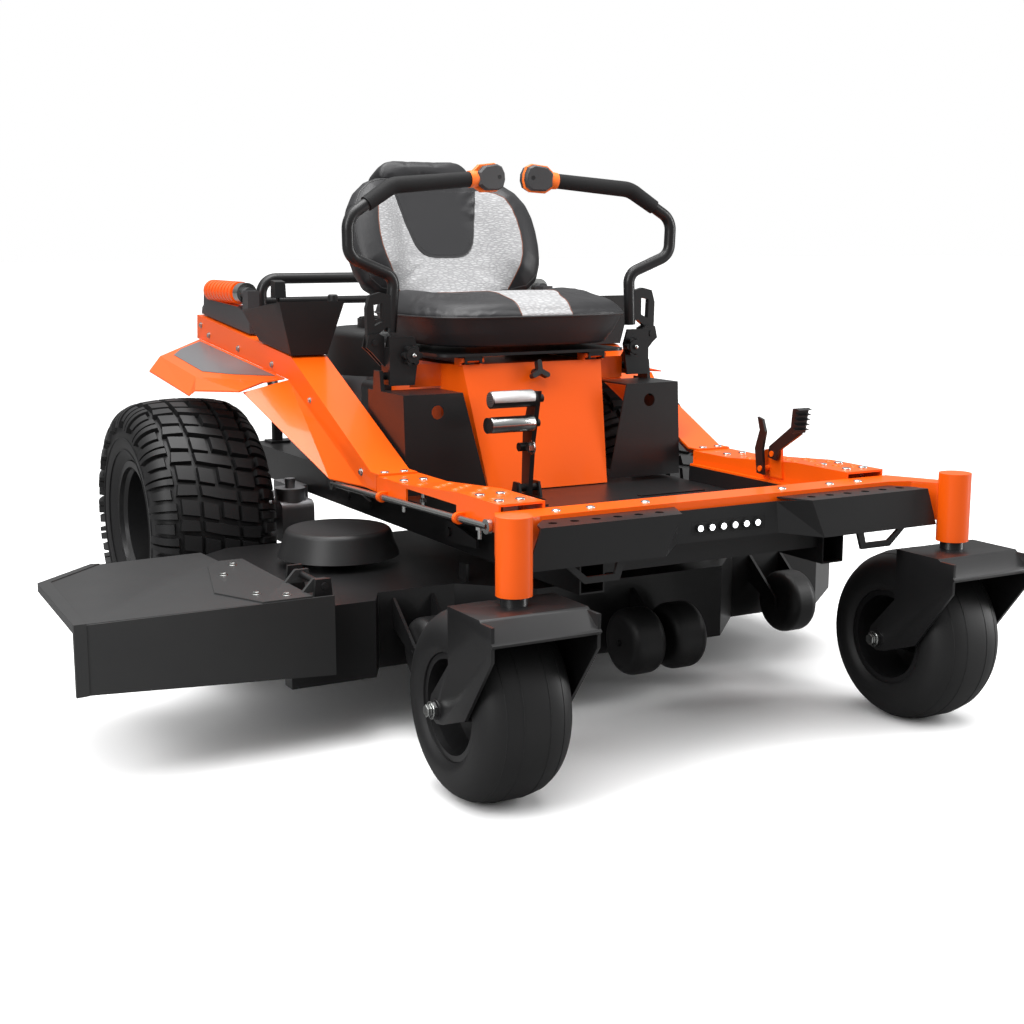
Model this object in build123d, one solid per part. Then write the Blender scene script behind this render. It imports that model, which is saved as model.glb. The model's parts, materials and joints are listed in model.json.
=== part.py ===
from build123d import *
import math
import os

# Zero turn mower, millimetres. The machine frame has its centreplane at X 0, its front caster
# axles at Y 0 with the machine's front towards -Y, and the ground at Z 0. The operator faces -Y,
# so the right-hand side, which carries the discharge chute, is -X. Every piece is modelled in the
# machine frame and moved to the stored origin, the middle of the footprint, when it is written.

# ---------------------------------------------------------------- driving dimensions
WHEELBASE = 1285.0            # caster axle to rear axle
CASTER_X = 471.0              # centreplane to a caster's swivel axis
CASTER_TRAIL = 86.0           # the axle trails the swivel axis by this much
CASTER_TYRE_R = 165.0
CASTER_TYRE_W = 171.0
CASTER_RIM_R = 90.0
REAR_TYRE_R = 279.5
REAR_TYRE_W = 285.0
REAR_RIM_R = 142.0
REAR_X = 585.0                # centreplane to the middle of a rear tyre
RUNNING_FIT = 0.05            # radial clearance of a shaft that turns in a bore
GAP = 0.3                     # clearance between neighbours that move past each other
SHEET = 4.0                   # body sheet metal

# casters
AXLE_R = 10.0
SPINDLE_R = 12.5
BARREL_R = 30.0
BARREL_BOTTOM_Z = 362.0
BARREL_TOP_Z = 490.0
BARREL_CAP = 10.0
FORK_TOP_Z = 347.0
FORK_PLATE = 6.0
FORK_SIDE_GAP = 6.0           # tyre to fork leg

# front end
BEAM_REAR_Y = 55.0
BEAM_FRONT_Y = -10.0
BEAM_BOTTOM_Z = 400.0
BEAM_TOP_Z = 470.0
BEAM_END_TO_CASTER = 71.0     # the straight beam stops this far inside the swivel axes
BUMPER_SKIN = 3.0
WING_Y = -75.0                # front plane of the bumper's two wings
WING_BOTTOM_Z = 393.0
WING_TOP_Z = 463.0
RECESS_Y = -18.0              # front plane of the recessed centre plate
LAMP_COUNT = 6
LAMP_PITCH = 25.0
LAMP_R = 8.0
LAMP_Z = 422.0

# frame
RAIL_X = 265.0                # centre of a main frame tube
RAIL_W = 50.0
RAIL_H = 70.0
RAIL_TOP_Z = 392.0
RAIL_REAR_Y = 1640.0
FLOOR_Z = 400.0
SIDE_OUT_X = 422.0            # outer face of the side rails and of the arms
SIDE_IN_X = 332.0             # inner face of the side rails
SIDE_BOTTOM_Z = 433.0
SIDE_REAR_Y = 553.0
STEP_REAR_Z = 465.0
STEP_FRONT_Z = 482.0
WINDOW_FRONT_Y = 205.0
WINDOW_REAR_Y = 425.0

# seat box and operator's station
BOX_TOP_Z = 662.0
BOX_TOP_Y = 677.0
BOX_FOOT_Y = 606.0
BOX_TOP_X = 168.0
BOX_FOOT_X = 144.0
BOX_SIDE_X = 190.0
BOX_SIDE_Y = 735.0
BOX_REAR_Y = 985.0
BOX_WALL = 3.0
LATCH_Z = 639.0               # middle of the knob on the sloping front panel
POD_TOP_Z = 611.0
POD_FOOT_Z = 409.0
POD_OUT_X = 333.0
POD_IN_X = 199.0
POD_TOP_Y = 617.0
POD_HOLE_R = 14.0

# steering levers
LEVER_PIVOT_X = 300.0
LEVER_PIVOT_Y = 745.0
LEVER_PIVOT_Z = 640.0
LEVER_PIN_R = 8.0
SWING_X = 340.0
SWING_Y = 750.0
SWING_Z = 710.0
SWING_PIN_R = 6.0
LEVER_TUBE_R = 12.7
LEVER_TUBE_WALL = 2.5
GRIP_R = 16.5

# seat
SEAT_HINGE_Y = 670.0
SEAT_HINGE_Z = 672.0
HINGE_PIN_R = 5.0
SEAT_HALF_W = 252.0
CUSHION_FRONT_Y = 612.0
CUSHION_REAR_Y = 1050.0
CUSHION_BOTTOM_Z = 697.0
CUSHION_SEAM_Z = 761.0
CUSHION_TOP_Z = 816.0
SEAT_CORNER_R = 90.0
BACK_RECLINE = 24.0
BACK_HALF_W = 243.0
BACK_THICK = 118.0
BACK_LENGTH = 300.0
BOLSTER_HEIGHT = 58.0

# mowing deck, in its raised transport position
DECK_TOP_Z = 270.0
DECK_BOTTOM_Z = 125.0
DECK_SHEET = 4.0
SPINDLE_X = 445.0
SPINDLE_Y = 697.0
CENTRE_SPINDLE_Y = 537.0
SPINDLE_SHAFT_R = 12.5
BLADE_LENGTH = 464.0
BLADE_Z = 140.0
COVER_R = 124.0
COVER_TOP_Z = 342.0
ROLLER_R = 64.0
ROLLER_Z = 168.0
ROLLER_AXLE_R = 6.0
NOSE_ROLLER_X = 47.0
NOSE_ROLLER_Y = 200.0
GAUGE_X = 417.0
GAUGE_Y = 322.0
CHUTE_HINGE_X = 625.0
CHUTE_HINGE_Z = 312.0
CHUTE_HINGE_R = 6.0
CHUTE_FRONT_Y = 320.0
CHUTE_OUT_X = 1068.0
CHUTE_TOP_Z = 296.0
CHUTE_WALL = 5.0

# linkages and pedals
PEDAL_PIVOT_Y = 545.0
PEDAL_PIVOT_Z = 418.0
PEDAL_X = 90.0
PEDAL_PIN_R = 8.0
PEG_R = 16.0
BRAKE_PIVOT_Y = 262.0
BRAKE_PIVOT_Z = 494.0
RELEASE_PIVOT_Y = 285.0
RELEASE_PIVOT_Z = 462.0
CRANK_Z = 364.0
FRONT_CRANK_Y = 440.0
REAR_CRANK_Y = 930.0
CRANK_SHAFT_R = 9.0
CRANK_ARM = 110.0
CRANK_END_X = 326.0
ROD_X = 434.0
ROD_R = 6.0
ROD_FRONT = (72.0, 444.0)      # (y, z) of the lift rod's front eye
ROD_REAR = (748.0, 424.0)
THROTTLE_Y = 1244.0
THROTTLE_Z = 742.0

# engine
ENGINE_Y = 1400.0
PLATE_Z = 392.0
PLATE_THICK = 8.0
HITCH_Y = 1652.0
HITCH_HOLE_R = 9.5
GUARD_TUBE_R = 14.0
GUARD_Y = 1690.0
GUARD_TOP_Z = 818.0


# ---------------------------------------------------------------- helpers
def block(low, high):
    """An axis-aligned box between two corners."""
    size = [high[i] - low[i] for i in range(3)]
    middle = [(high[i] + low[i]) / 2 for i in range(3)]
    return Pos(*middle) * Box(*size)


def rod(start, end, radius):
    """A solid cylinder from one point to another."""
    a = Vector(*start)
    axis = Vector(*end) - a
    plane = Plane(origin=a, z_dir=axis)
    return extrude(plane * Circle(radius), amount=axis.length)


def pipe(start, end, radius, bore):
    """A hollow cylinder from one point to another."""
    return rod(start, end, radius) - rod(start, end, bore)


def slab(points, plane, amount):
    """A flat outline on a plane, extruded along the plane's normal."""
    return extrude(plane * make_face(Polyline(*points, close=True)), amount=amount)


def side_slab(points, x, thickness):
    """A plate in a plane of constant X; the points are (y, z)."""
    return slab(points, Plane(origin=(x, 0, 0), x_dir=(0, 1, 0), z_dir=(1, 0, 0)), thickness)


def front_slab(points, y, thickness):
    """A plate in a plane of constant Y; the points are (x, z)."""
    return slab(points, Plane(origin=(0, y, 0), x_dir=(1, 0, 0), z_dir=(0, -1, 0)), -thickness)


def top_slab(points, z, thickness):
    """A level plate; the points are (x, y)."""
    return slab(points, Plane(origin=(0, 0, z), x_dir=(1, 0, 0), z_dir=(0, 0, 1)), thickness)


def folded(facets, shift):
    """Folded sheet: each flat facet is extruded by the same shift, so that the folds close up."""
    solid = None
    for corners in facets:
        face = Face(Wire.make_polygon([Vector(*c) for c in corners], close=True))
        piece = Solid.extrude(face, Vector(*shift))
        solid = piece if solid is None else solid + piece
    return solid


def turned(profile, centre, direction=(1, 0, 0)):
    """A body of revolution about an X axis through centre; the profile holds (x, radius)."""
    plane = Plane(origin=centre, x_dir=direction, z_dir=(0, -1, 0))
    face = plane * make_face(Polyline(*profile, close=True))
    return revolve(face, axis=Axis(centre, (1, 0, 0)))


def bent_tube(points, radii, radius):
    """A round bar along straight runs joined by arcs."""
    path = FilletPolyline(*points, radius=radii)
    start = Plane(origin=points[0], z_dir=Vector(*points[1]) - Vector(*points[0]))
    return sweep(start * Circle(radius), path=path)


def mirrored(shape):
    """The same piece on the other side of the centreplane."""
    return mirror(shape, about=Plane.YZ)


def group(shapes):
    """Separate solids that share one node."""
    solids = []
    for shape in shapes:
        solids.extend(shape.solids())
    return Compound(children=solids)


def both(shape):
    """A piece and its mirror image, as two solids in one node."""
    return group([shape, mirrored(shape)])


# ---------------------------------------------------------------- casters (right-hand side, -X)
CASTER_LEG_X = CASTER_TYRE_W / 2 + FORK_SIDE_GAP
CASTER_CENTRE = (-CASTER_X, 0, CASTER_TYRE_R)


def tyre_ring(centre, radius, width, rim_radius, shoulder, wall):
    """A tyre carcass: rounded shoulders outside, open towards the rim inside."""
    half = width / 2
    plane = Plane(origin=centre, x_dir=(1, 0, 0), z_dir=(0, -1, 0))
    outline = Polyline((-half, rim_radius), (half, rim_radius), (half, radius), (-half, radius), close=True)
    face = make_face(outline)
    corners = face.vertices().sort_by(Axis.Y)[-2:]
    face = fillet(corners, shoulder)
    inner = half - wall
    top = radius - wall
    hollow = make_face(Polyline((-inner, rim_radius - 1), (inner, rim_radius - 1), (inner, top), (-inner, top), close=True))
    hollow = fillet(hollow.vertices().sort_by(Axis.Y)[-2:], shoulder - wall / 2)
    face = plane * (face - hollow)
    return revolve(face, axis=Axis(centre, (1, 0, 0)))


def caster_tyre():
    return tyre_ring(CASTER_CENTRE, CASTER_TYRE_R, CASTER_TYRE_W, CASTER_RIM_R, 46.0, 14.0)


def caster_rim():
    """A dished disc wheel with a hub tube that turns on the axle bolt."""
    seat = CASTER_RIM_R - GAP / 3
    half = CASTER_TYRE_W / 2 - 16
    profile = [(-half - 4, seat), (-half - 4, seat - 10), (-half + 8, seat - 12), (-24, seat - 14), (-18, 46)]
    profile += [(-30, 30), (-66, 26), (-66, 20), (66, 20), (66, 26), (30, 30), (-8, 46), (-8, seat - 14)]
    profile += [(half - 8, seat - 12), (half + 4, seat - 10), (half + 4, seat)]
    wheel = turned(profile, CASTER_CENTRE)
    half_hub = CASTER_TYRE_W / 2 + FORK_SIDE_GAP - GAP * 2
    hub = pipe((-CASTER_X - half_hub, 0, CASTER_TYRE_R), (-CASTER_X + half_hub, 0, CASTER_TYRE_R), 20.5,
               AXLE_R + RUNNING_FIT)
    return wheel + hub


def caster_fork():
    """Bent fork plate with its swivel spindle, spacer and axle bolt."""
    under = FORK_TOP_Z - FORK_PLATE
    axle_z = CASTER_TYRE_R
    leg = [(-191, under + 2), (-190, 288), (-102, 173), (-24, axle_z - 20), (0, axle_z - 24), (18, axle_z - 17)]
    leg += [(25, axle_z), (18, axle_z + 20), (-44, 250), (-44, under + 2)]
    parts = []
    for side in (-1, 1):
        x = -CASTER_X + side * CASTER_LEG_X - (FORK_PLATE if side < 0 else 0)
        parts.append(side_slab(leg, x, FORK_PLATE))
    half = CASTER_LEG_X + FORK_PLATE
    top = block((-CASTER_X - half, -152, under), (-CASTER_X + half, -44, FORK_TOP_Z))
    lip_line = [(-152, under), (-152, FORK_TOP_Z), (-195, 315), (-191, 310)]
    lip = side_slab(lip_line, -CASTER_X - half, 2 * half)
    body = parts[0] + parts[1] + top + lip
    body += rod((-CASTER_X, -CASTER_TRAIL, under), (-CASTER_X, -CASTER_TRAIL, BARREL_TOP_Z - BARREL_CAP - 2),
                SPINDLE_R)
    body += rod((-CASTER_X, -CASTER_TRAIL, under), (-CASTER_X, -CASTER_TRAIL, BARREL_BOTTOM_Z - GAP), 22.0)
    axle = rod((-CASTER_X - half - 12, 0, axle_z), (-CASTER_X + half + 12, 0, axle_z), AXLE_R)
    heads = []
    for side in (-1, 1):
        face_x = -CASTER_X + side * half
        plane = Plane(origin=(face_x, 0, axle_z), z_dir=(side, 0, 0))
        heads.append(extrude(plane * Circle(17), amount=2.5))
        heads.append(extrude(plane * RegularPolygon(13, 6), amount=11))
    return body + axle + heads[0] + heads[1] + heads[2] + heads[3]


# ---------------------------------------------------------------- rear wheels (right-hand side)
REAR_CENTRE = (-REAR_X, WHEELBASE, REAR_TYRE_R)
AXLE_SHAFT_R = 20.0
DISC_X = 17.0                 # the rim's disc stands this far outboard of the tyre's middle


def rear_tyre():
    return tyre_ring(REAR_CENTRE, REAR_TYRE_R, REAR_TYRE_W, REAR_RIM_R, 62.0, 18.0)


def rear_rim():
    """Deep rim with a disc, hub, five wheel nuts and the axle shaft it is bolted to."""
    seat = REAR_RIM_R - GAP / 3
    half = REAR_TYRE_W / 2 - 28
    disc = -DISC_X
    profile = [(-half - 4, seat), (-half - 4, seat - 14), (-half + 6, seat - 16), (-half + 14, seat - 22)]
    profile += [(disc - 14, seat - 24), (disc - 6, 112), (disc - 12, 70), (disc - 12, 4), (disc, 4)]
    profile += [(disc, 66), (disc + 6, 108), (disc + 4, seat - 28), (half - 14, seat - 26), (half - 6, seat - 18)]
    profile += [(half + 4, seat - 16), (half + 4, seat)]
    wheel = turned([(x, max(r, 0.0)) for x, r in profile], REAR_CENTRE)
    nuts = []
    for i in range(5):
        angle = math.radians(72 * i + 90)
        y = WHEELBASE + 50 * math.cos(angle)
        z = REAR_TYRE_R + 50 * math.sin(angle)
        plane = Plane(origin=(-REAR_X + disc - 12, y, z), z_dir=(-1, 0, 0))
        nuts.append(extrude(plane * RegularPolygon(10, 6), amount=12))
    for nut in nuts:
        wheel += nut
    wheel += rod((-REAR_X + disc - 12, WHEELBASE, REAR_TYRE_R), (-REAR_X + disc - 20, WHEELBASE, REAR_TYRE_R), 30)
    wheel += rod((-REAR_X + disc, WHEELBASE, REAR_TYRE_R), (-TRANSAXLE_OUT_X - 6, WHEELBASE, REAR_TYRE_R), 52)
    shaft = rod((-REAR_X + disc, WHEELBASE, REAR_TYRE_R), (-TRANSAXLE_OUT_X + 36, WHEELBASE, REAR_TYRE_R),
                AXLE_SHAFT_R)
    return wheel + shaft


TRANSAXLE_OUT_X = 425.0


def transaxle():
    """One hydrostatic drive: gear housing, pump cap, input pulley and the axle's bearing boss."""
    y = WHEELBASE
    z = REAR_TYRE_R
    case = block((-380, y - 95, z - 62), (-300, y + 105, z + 34))
    case = fillet(case.edges().filter_by(Axis.X), 18)
    boss = rod((-TRANSAXLE_OUT_X, y, z), (-370, y, z), 40)
    pump = rod((-345, y - 55, z + 30), (-345, y - 55, z + 62), 36)
    pulley = rod((-345, y - 55, z + 62), (-345, y - 55, z + 84), 12)
    foot = block((-332, y - 30, z + 10), (-RAIL_X - RAIL_W / 2, y + 90, z + 60))
    whole = case + boss + pump + pulley + foot
    return whole - rod((-TRANSAXLE_OUT_X - 1, y, z), (-TRANSAXLE_OUT_X + 40, y, z), AXLE_SHAFT_R + RUNNING_FIT)


# ---------------------------------------------------------------- frame and front end
def frame_rails():
    """Two main tubes, cross tubes, the engine plate with the hitch hole, and the lift shafts' lugs."""
    low_z = RAIL_TOP_Z - RAIL_H
    frame = None
    for side in (-1, 1):
        x = side * RAIL_X
        tube = block((x - RAIL_W / 2, BEAM_FRONT_Y + 20, low_z), (x + RAIL_W / 2, RAIL_REAR_Y, RAIL_TOP_Z))
        bore = block((x - RAIL_W / 2 + 3, BEAM_FRONT_Y, low_z + 3),
                     (x + RAIL_W / 2 - 3, RAIL_REAR_Y + 20, RAIL_TOP_Z - 3))
        frame = tube - bore if frame is None else frame + (tube - bore)
    inner = RAIL_X - RAIL_W / 2
    for y in (BEAM_REAR_Y - 30, 560, 1040):
        frame += block((-inner - 1, y, RAIL_TOP_Z - 40), (inner + 1, y + 40, RAIL_TOP_Z))
    outline = [(-290, 1120), (290, 1120), (290, 1640), (80, 1700), (-80, 1700), (-290, 1640)]
    plate = top_slab(outline, RAIL_TOP_Z, PLATE_THICK)
    plate -= rod((0, HITCH_Y, RAIL_TOP_Z - 1), (0, HITCH_Y, RAIL_TOP_Z + PLATE_THICK + 1), HITCH_HOLE_R)
    frame += plate
    for y in (FRONT_CRANK_Y, REAR_CRANK_Y):
        for side in (-1, 1):
            lug = block((side * (inner - 14) - 5, y - 22, CRANK_Z - 24), (side * (inner - 14) + 5, y + 22, low_z + 66))
            frame += lug + block((side * (inner - 10) - 10, y - 22, low_z + 50), (side * (inner - 10) + 10, y + 22, low_z + 66))
        frame -= rod((-400, y, CRANK_Z), (400, y, CRANK_Z), CRANK_SHAFT_R + RUNNING_FIT)
    return frame


def front_crossmember():
    """Box beam with a caster barrel on each end; the barrels take the fork spindles."""
    half = CASTER_X - BEAM_END_TO_CASTER
    beam = block((-half, BEAM_FRONT_Y, BEAM_BOTTOM_Z), (half, BEAM_REAR_Y, BEAM_TOP_Z))
    beam -= block((SHEET - half, BEAM_FRONT_Y + SHEET, BEAM_BOTTOM_Z - 1),
                  (half - SHEET, BEAM_REAR_Y - SHEET, BEAM_TOP_Z - SHEET))
    past_end = half - 20
    outline = [(past_end, BEAM_FRONT_Y), (past_end, BEAM_REAR_Y), (half + 30, BEAM_REAR_Y)]
    outline += [(CASTER_X + 19, 24 - CASTER_TRAIL), (CASTER_X, -CASTER_TRAIL), (CASTER_X - 25, 18 - CASTER_TRAIL)]
    outline += [(half + 20, -26)]
    for sign in (1, -1):
        knee = top_slab([(sign * x, y) for x, y in outline], BEAM_BOTTOM_Z, BEAM_TOP_Z - BEAM_BOTTOM_Z)
        beam += knee
    for sign in (1, -1):
        base = (sign * CASTER_X, -CASTER_TRAIL, BARREL_BOTTOM_Z)
        top = (sign * CASTER_X, -CASTER_TRAIL, BARREL_TOP_Z)
        beam += rod(base, top, BARREL_R)
        below_cap = (sign * CASTER_X, -CASTER_TRAIL, BARREL_TOP_Z - BARREL_CAP)
        beam -= rod((base[0], base[1], base[2] - 5), below_cap, SPINDLE_R + RUNNING_FIT)
    for sign in (1, -1):
        foot = block((sign * RAIL_X - RAIL_W / 2, BEAM_FRONT_Y + 20.2, RAIL_TOP_Z),
                     (sign * RAIL_X + RAIL_W / 2, BEAM_REAR_Y, BEAM_BOTTOM_Z + 1))
        beam += foot
    return beam


def bumper_skin():
    """Folded black skin: two wings, slanted shoulders, a recessed centre plate and drilled top flanges."""
    wing = [(-440, WING_Y, WING_BOTTOM_Z), (-415, WING_Y, WING_TOP_Z), (-140, WING_Y, WING_TOP_Z),
            (-172, WING_Y, WING_BOTTOM_Z)]
    top_in = (-106, RECESS_Y, WING_TOP_Z - 7)
    low_in = (-112, RECESS_Y, WING_BOTTOM_Z + 5)
    shoulder = [wing[2], wing[3], top_in]
    shoulder_low = [wing[3], low_in, top_in]
    centre = [top_in, low_in, (0, RECESS_Y, WING_BOTTOM_Z + 5), (0, RECESS_Y, WING_TOP_Z - 7)]
    half = folded([wing, shoulder, shoulder_low, centre], (0, BUMPER_SKIN, 0))
    flange = top_slab([(-415, WING_Y), (-140, WING_Y), (-112, BEAM_FRONT_Y - 1), (-376, BEAM_FRONT_Y - 1),
                       (-406, -46)], WING_TOP_Z - BUMPER_SKIN, BUMPER_SKIN)
    for i in range(6):
        x = -375 + i * 42
        flange -= rod((x, WING_Y + 32, WING_TOP_Z - 9), (x, WING_Y + 32, WING_TOP_Z + 1), 8)
    half = half + flange
    skin = half + mirrored(half)
    half_window = LAMP_PITCH * LAMP_COUNT / 2 + 5
    skin -= block((-half_window, RECESS_Y - 5, LAMP_Z - 11), (half_window, RECESS_Y + 5, LAMP_Z + 11))
    return skin


def light_bar():
    """Lamp housing behind the bumper's window, with a row of round lenses."""
    half = LAMP_PITCH * LAMP_COUNT / 2 + 5 - GAP
    solids = [block((-half, RECESS_Y, LAMP_Z - 11 + GAP), (half, BEAM_FRONT_Y - GAP, LAMP_Z + 11 - GAP))]
    for i in range(LAMP_COUNT):
        x = (i - (LAMP_COUNT - 1) / 2) * LAMP_PITCH
        solids.append(rod((x, RECESS_Y - GAP, LAMP_Z), (x, RECESS_Y - 4, LAMP_Z), LAMP_R))
    return group(solids)


def tow_hook():
    """Slotted plate under a bumper wing."""
    y = WING_Y + BUMPER_SKIN + GAP
    outline = [(-385, 410), (-330, 362), (-262, 362), (-246, 410)]
    slot = [(-352, 394), (-325, 373), (-272, 373), (-266, 394)]
    return front_slab(outline, y, 6) - front_slab(slot, y - 2, 10)


def side_rail():
    """Step platform: a folded channel with an open window in its outer wall."""
    outline = [(BEAM_REAR_Y + GAP, SIDE_BOTTOM_Z), (BEAM_REAR_Y + GAP, STEP_FRONT_Z)]
    outline += [(WINDOW_FRONT_Y, STEP_FRONT_Z), (WINDOW_REAR_Y, STEP_REAR_Z), (SIDE_REAR_Y, STEP_REAR_Z)]
    outline += [(SIDE_REAR_Y, SIDE_BOTTOM_Z)]
    body = side_slab(outline, -SIDE_OUT_X, SIDE_OUT_X - SIDE_IN_X)
    s = SHEET
    hollow = [(BEAM_REAR_Y - 9, SIDE_BOTTOM_Z - 9), (BEAM_REAR_Y - 9, STEP_FRONT_Z - s)]
    hollow += [(WINDOW_FRONT_Y, STEP_FRONT_Z - s), (WINDOW_REAR_Y, STEP_REAR_Z - s)]
    hollow += [(SIDE_REAR_Y - s, STEP_REAR_Z - s), (SIDE_REAR_Y - s, SIDE_BOTTOM_Z - 9)]
    body -= side_slab(hollow, -SIDE_OUT_X + s, SIDE_OUT_X - SIDE_IN_X - 2 * s)
    window = block((-SIDE_OUT_X - 5, WINDOW_FRONT_Y + 6, SIDE_BOTTOM_Z - 2),
                   (-SIDE_OUT_X + s + 1, WINDOW_REAR_Y - 6, STEP_REAR_Z - s - 2))
    flange = block((-SIDE_IN_X, BEAM_REAR_Y + GAP, SIDE_BOTTOM_Z), (-SIDE_IN_X + 8, SIDE_REAR_Y, SIDE_BOTTOM_Z + s))
    return body - window + flange


def floor_pan():
    """Foot tray between the side rails, with raised anti-slip ribs and upturned sides."""
    half = SIDE_IN_X - 8.5
    front = BEAM_REAR_Y + GAP
    pan = block((-half, front, FLOOR_Z - 3), (half, BOX_FOOT_Y + 60, FLOOR_Z))
    for sign in (-1, 1):
        pan += block((sign * half - 1.5, front, FLOOR_Z - 3), (sign * half + 1.5, SIDE_REAR_Y, SIDE_BOTTOM_Z - GAP / 3))
    for i in range(7):
        y = 110 + i * 52
        for sign in (-1, 1):
            pan += block((sign * 190 - 80, y, FLOOR_Z - 1), (sign * 190 + 80, y + 16, FLOOR_Z + 2.5))
    slot = block((-PEDAL_X - 12, PEDAL_PIVOT_Y - 60, FLOOR_Z - 9), (-PEDAL_X + 12, PEDAL_PIVOT_Y + 40, FLOOR_Z + 5))
    return pan - slot


def frame_bolts():
    """Carriage bolts of the side rails and arm feet, with their hanging shanks and nuts."""
    solids = []
    spots = [(-402, 551 + 8), (-361, 549 + 8), (-402, 470), (-361, 470), (-402, 160), (-361, 160), (-402, 90), (-361, 90)]
    for x, y in spots:
        top = STEP_REAR_Z if y > WINDOW_REAR_Y else STEP_FRONT_Z
        if y > SIDE_REAR_Y:
            top = STEP_REAR_Z + SHEET
        dome = rod((x, y, top + GAP / 3), (x, y, top + 3), 9)
        dome = fillet(dome.edges().sort_by(Axis.Z)[-1], 2.4)
        solids.append(dome)
        if y < SIDE_REAR_Y:
            below = SIDE_BOTTOM_Z - 2
            solids.append(rod((x, y, below - 26), (x, y, top - SHEET - GAP), 4.5)
                          + extrude(Pos(x, y, below - 10) * RegularPolygon(8, 6), amount=8))
    return group(solids + [mirrored(s) for s in solids])


# ---------------------------------------------------------------- seat box and side panels
def box_core(inset, drop):
    """The seat box's outer form, or its hollow when inset and dropped."""
    foot = BOX_FOOT_X - inset
    side = BOX_SIDE_X - inset
    bottom = FLOOR_Z + 2 - drop
    top = BOX_TOP_Z - inset
    plan = [(-foot, BOX_FOOT_Y + inset), (foot, BOX_FOOT_Y + inset), (side, BOX_SIDE_Y + inset),
            (side, BOX_REAR_Y - inset), (-side, BOX_REAR_Y - inset), (-side, BOX_SIDE_Y + inset)]
    core = top_slab(plan, bottom, top - bottom)
    run = BOX_TOP_Y - BOX_FOOT_Y
    wedge = [(BOX_FOOT_Y - 60, FLOOR_Z - 90), (BOX_FOOT_Y + inset, FLOOR_Z - 90), (BOX_FOOT_Y + inset, FLOOR_Z + 2),
             (BOX_FOOT_Y + run + inset, BOX_TOP_Z), (BOX_FOOT_Y + run + inset, BOX_TOP_Z + 60),
             (BOX_FOOT_Y - 60, BOX_TOP_Z + 60)]
    return core - side_slab(wedge, -400, 800)


def seat_box():
    """Orange box under the seat: a sloping front panel, chamfered sides and an open bottom."""
    box = box_core(0, 0) - box_core(BOX_WALL, 40)
    wing = block((-262, BOX_SIDE_Y, POD_TOP_Z + 4), (-BOX_SIDE_X + 1, BOX_SIDE_Y + BOX_WALL, BOX_TOP_Z))
    return box + wing + mirrored(wing)


def side_panel():
    """Black panel beside the seat box, with a round hole, a top deck and a lever pedestal."""
    lean = POD_TOP_Y - BOX_FOOT_Y
    front = [(-POD_OUT_X, BOX_FOOT_Y, POD_FOOT_Z), (-POD_OUT_X, POD_TOP_Y, POD_TOP_Z),
             (-POD_IN_X, POD_TOP_Y, POD_TOP_Z), (-BOX_FOOT_X - 5, BOX_FOOT_Y, POD_FOOT_Z)]
    panel = folded([front], (0, BOX_WALL, 0))
    panel += top_slab([(-POD_OUT_X, POD_TOP_Y), (-POD_IN_X, POD_TOP_Y), (-POD_IN_X, BOX_SIDE_Y - GAP),
                       (-POD_OUT_X, BOX_SIDE_Y - GAP)], POD_TOP_Z - BOX_WALL, BOX_WALL)
    side = [(BOX_FOOT_Y, POD_FOOT_Z), (POD_TOP_Y, POD_TOP_Z), (790, POD_TOP_Z), (790, POD_FOOT_Z)]
    panel += side_slab(side, -POD_OUT_X, BOX_WALL)
    hole_y = BOX_FOOT_Y + lean * (574 - POD_FOOT_Z) / (POD_TOP_Z - POD_FOOT_Z)
    panel -= rod((-257, hole_y - 20, 574), (-257, hole_y + 20, 574), POD_HOLE_R)
    lug = [(LEVER_PIVOT_Y - 26, POD_TOP_Z - 40), (LEVER_PIVOT_Y - 14, LEVER_PIVOT_Z + 12)]
    lug += [(LEVER_PIVOT_Y + 14, LEVER_PIVOT_Z + 12), (LEVER_PIVOT_Y + 26, POD_TOP_Z - 40)]
    panel += side_slab(lug, -POD_OUT_X, BOX_WALL + 5)
    panel += rod((-POD_OUT_X + 2, LEVER_PIVOT_Y, LEVER_PIVOT_Z), (-262, LEVER_PIVOT_Y, LEVER_PIVOT_Z), LEVER_PIN_R)
    return panel


def latch_knob():
    """Three-lobed knob on the seat box's front panel."""
    slope = math.degrees(math.atan2(BOX_TOP_Y - BOX_FOOT_Y, BOX_TOP_Z - FLOOR_Z - 2))
    z = LATCH_Z
    y = BOX_FOOT_Y + (z - FLOOR_Z - 2) * math.tan(math.radians(slope))
    plane = Plane(origin=(0, y, z), x_dir=(1, 0, 0),
                  z_dir=(0, -math.cos(math.radians(slope)), math.sin(math.radians(slope))))
    knob = extrude(plane.offset(GAP) * Circle(9), amount=16)
    for i in range(3):
        lobe = plane.offset(14) * (Rot(0, 0, 90 + 120 * i) * Pos(11, 0) * SlotOverall(26, 11))
        knob += extrude(lobe, amount=14)
    return knob


# ---------------------------------------------------------------- arms, fenders and consoles
ARM_FOOT_Y = 580.0
ARM_KNEE_Y = 1000.0
ARM_KNEE_Z = 667.0
ARM_END_Y = 1652.0
ARM_END_Z = 731.0
RAIL_EDGE_KNEE = (1019.0, 616.0)    # (y, z) of the lower edge of the arm's vertical wall
RAIL_EDGE_END = (1658.0, 672.0)
FENDER_FALL = math.tan(math.radians(12.0))


def fender_z(x, y):
    """Height of the fender's upper facet, which falls outwards from the arm's lower edge."""
    rise = (RAIL_EDGE_END[1] - RAIL_EDGE_KNEE[1]) / (RAIL_EDGE_END[0] - RAIL_EDGE_KNEE[0])
    return RAIL_EDGE_KNEE[1] + (y - RAIL_EDGE_KNEE[0]) * rise + (x + SIDE_OUT_X) * FENDER_FALL


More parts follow.
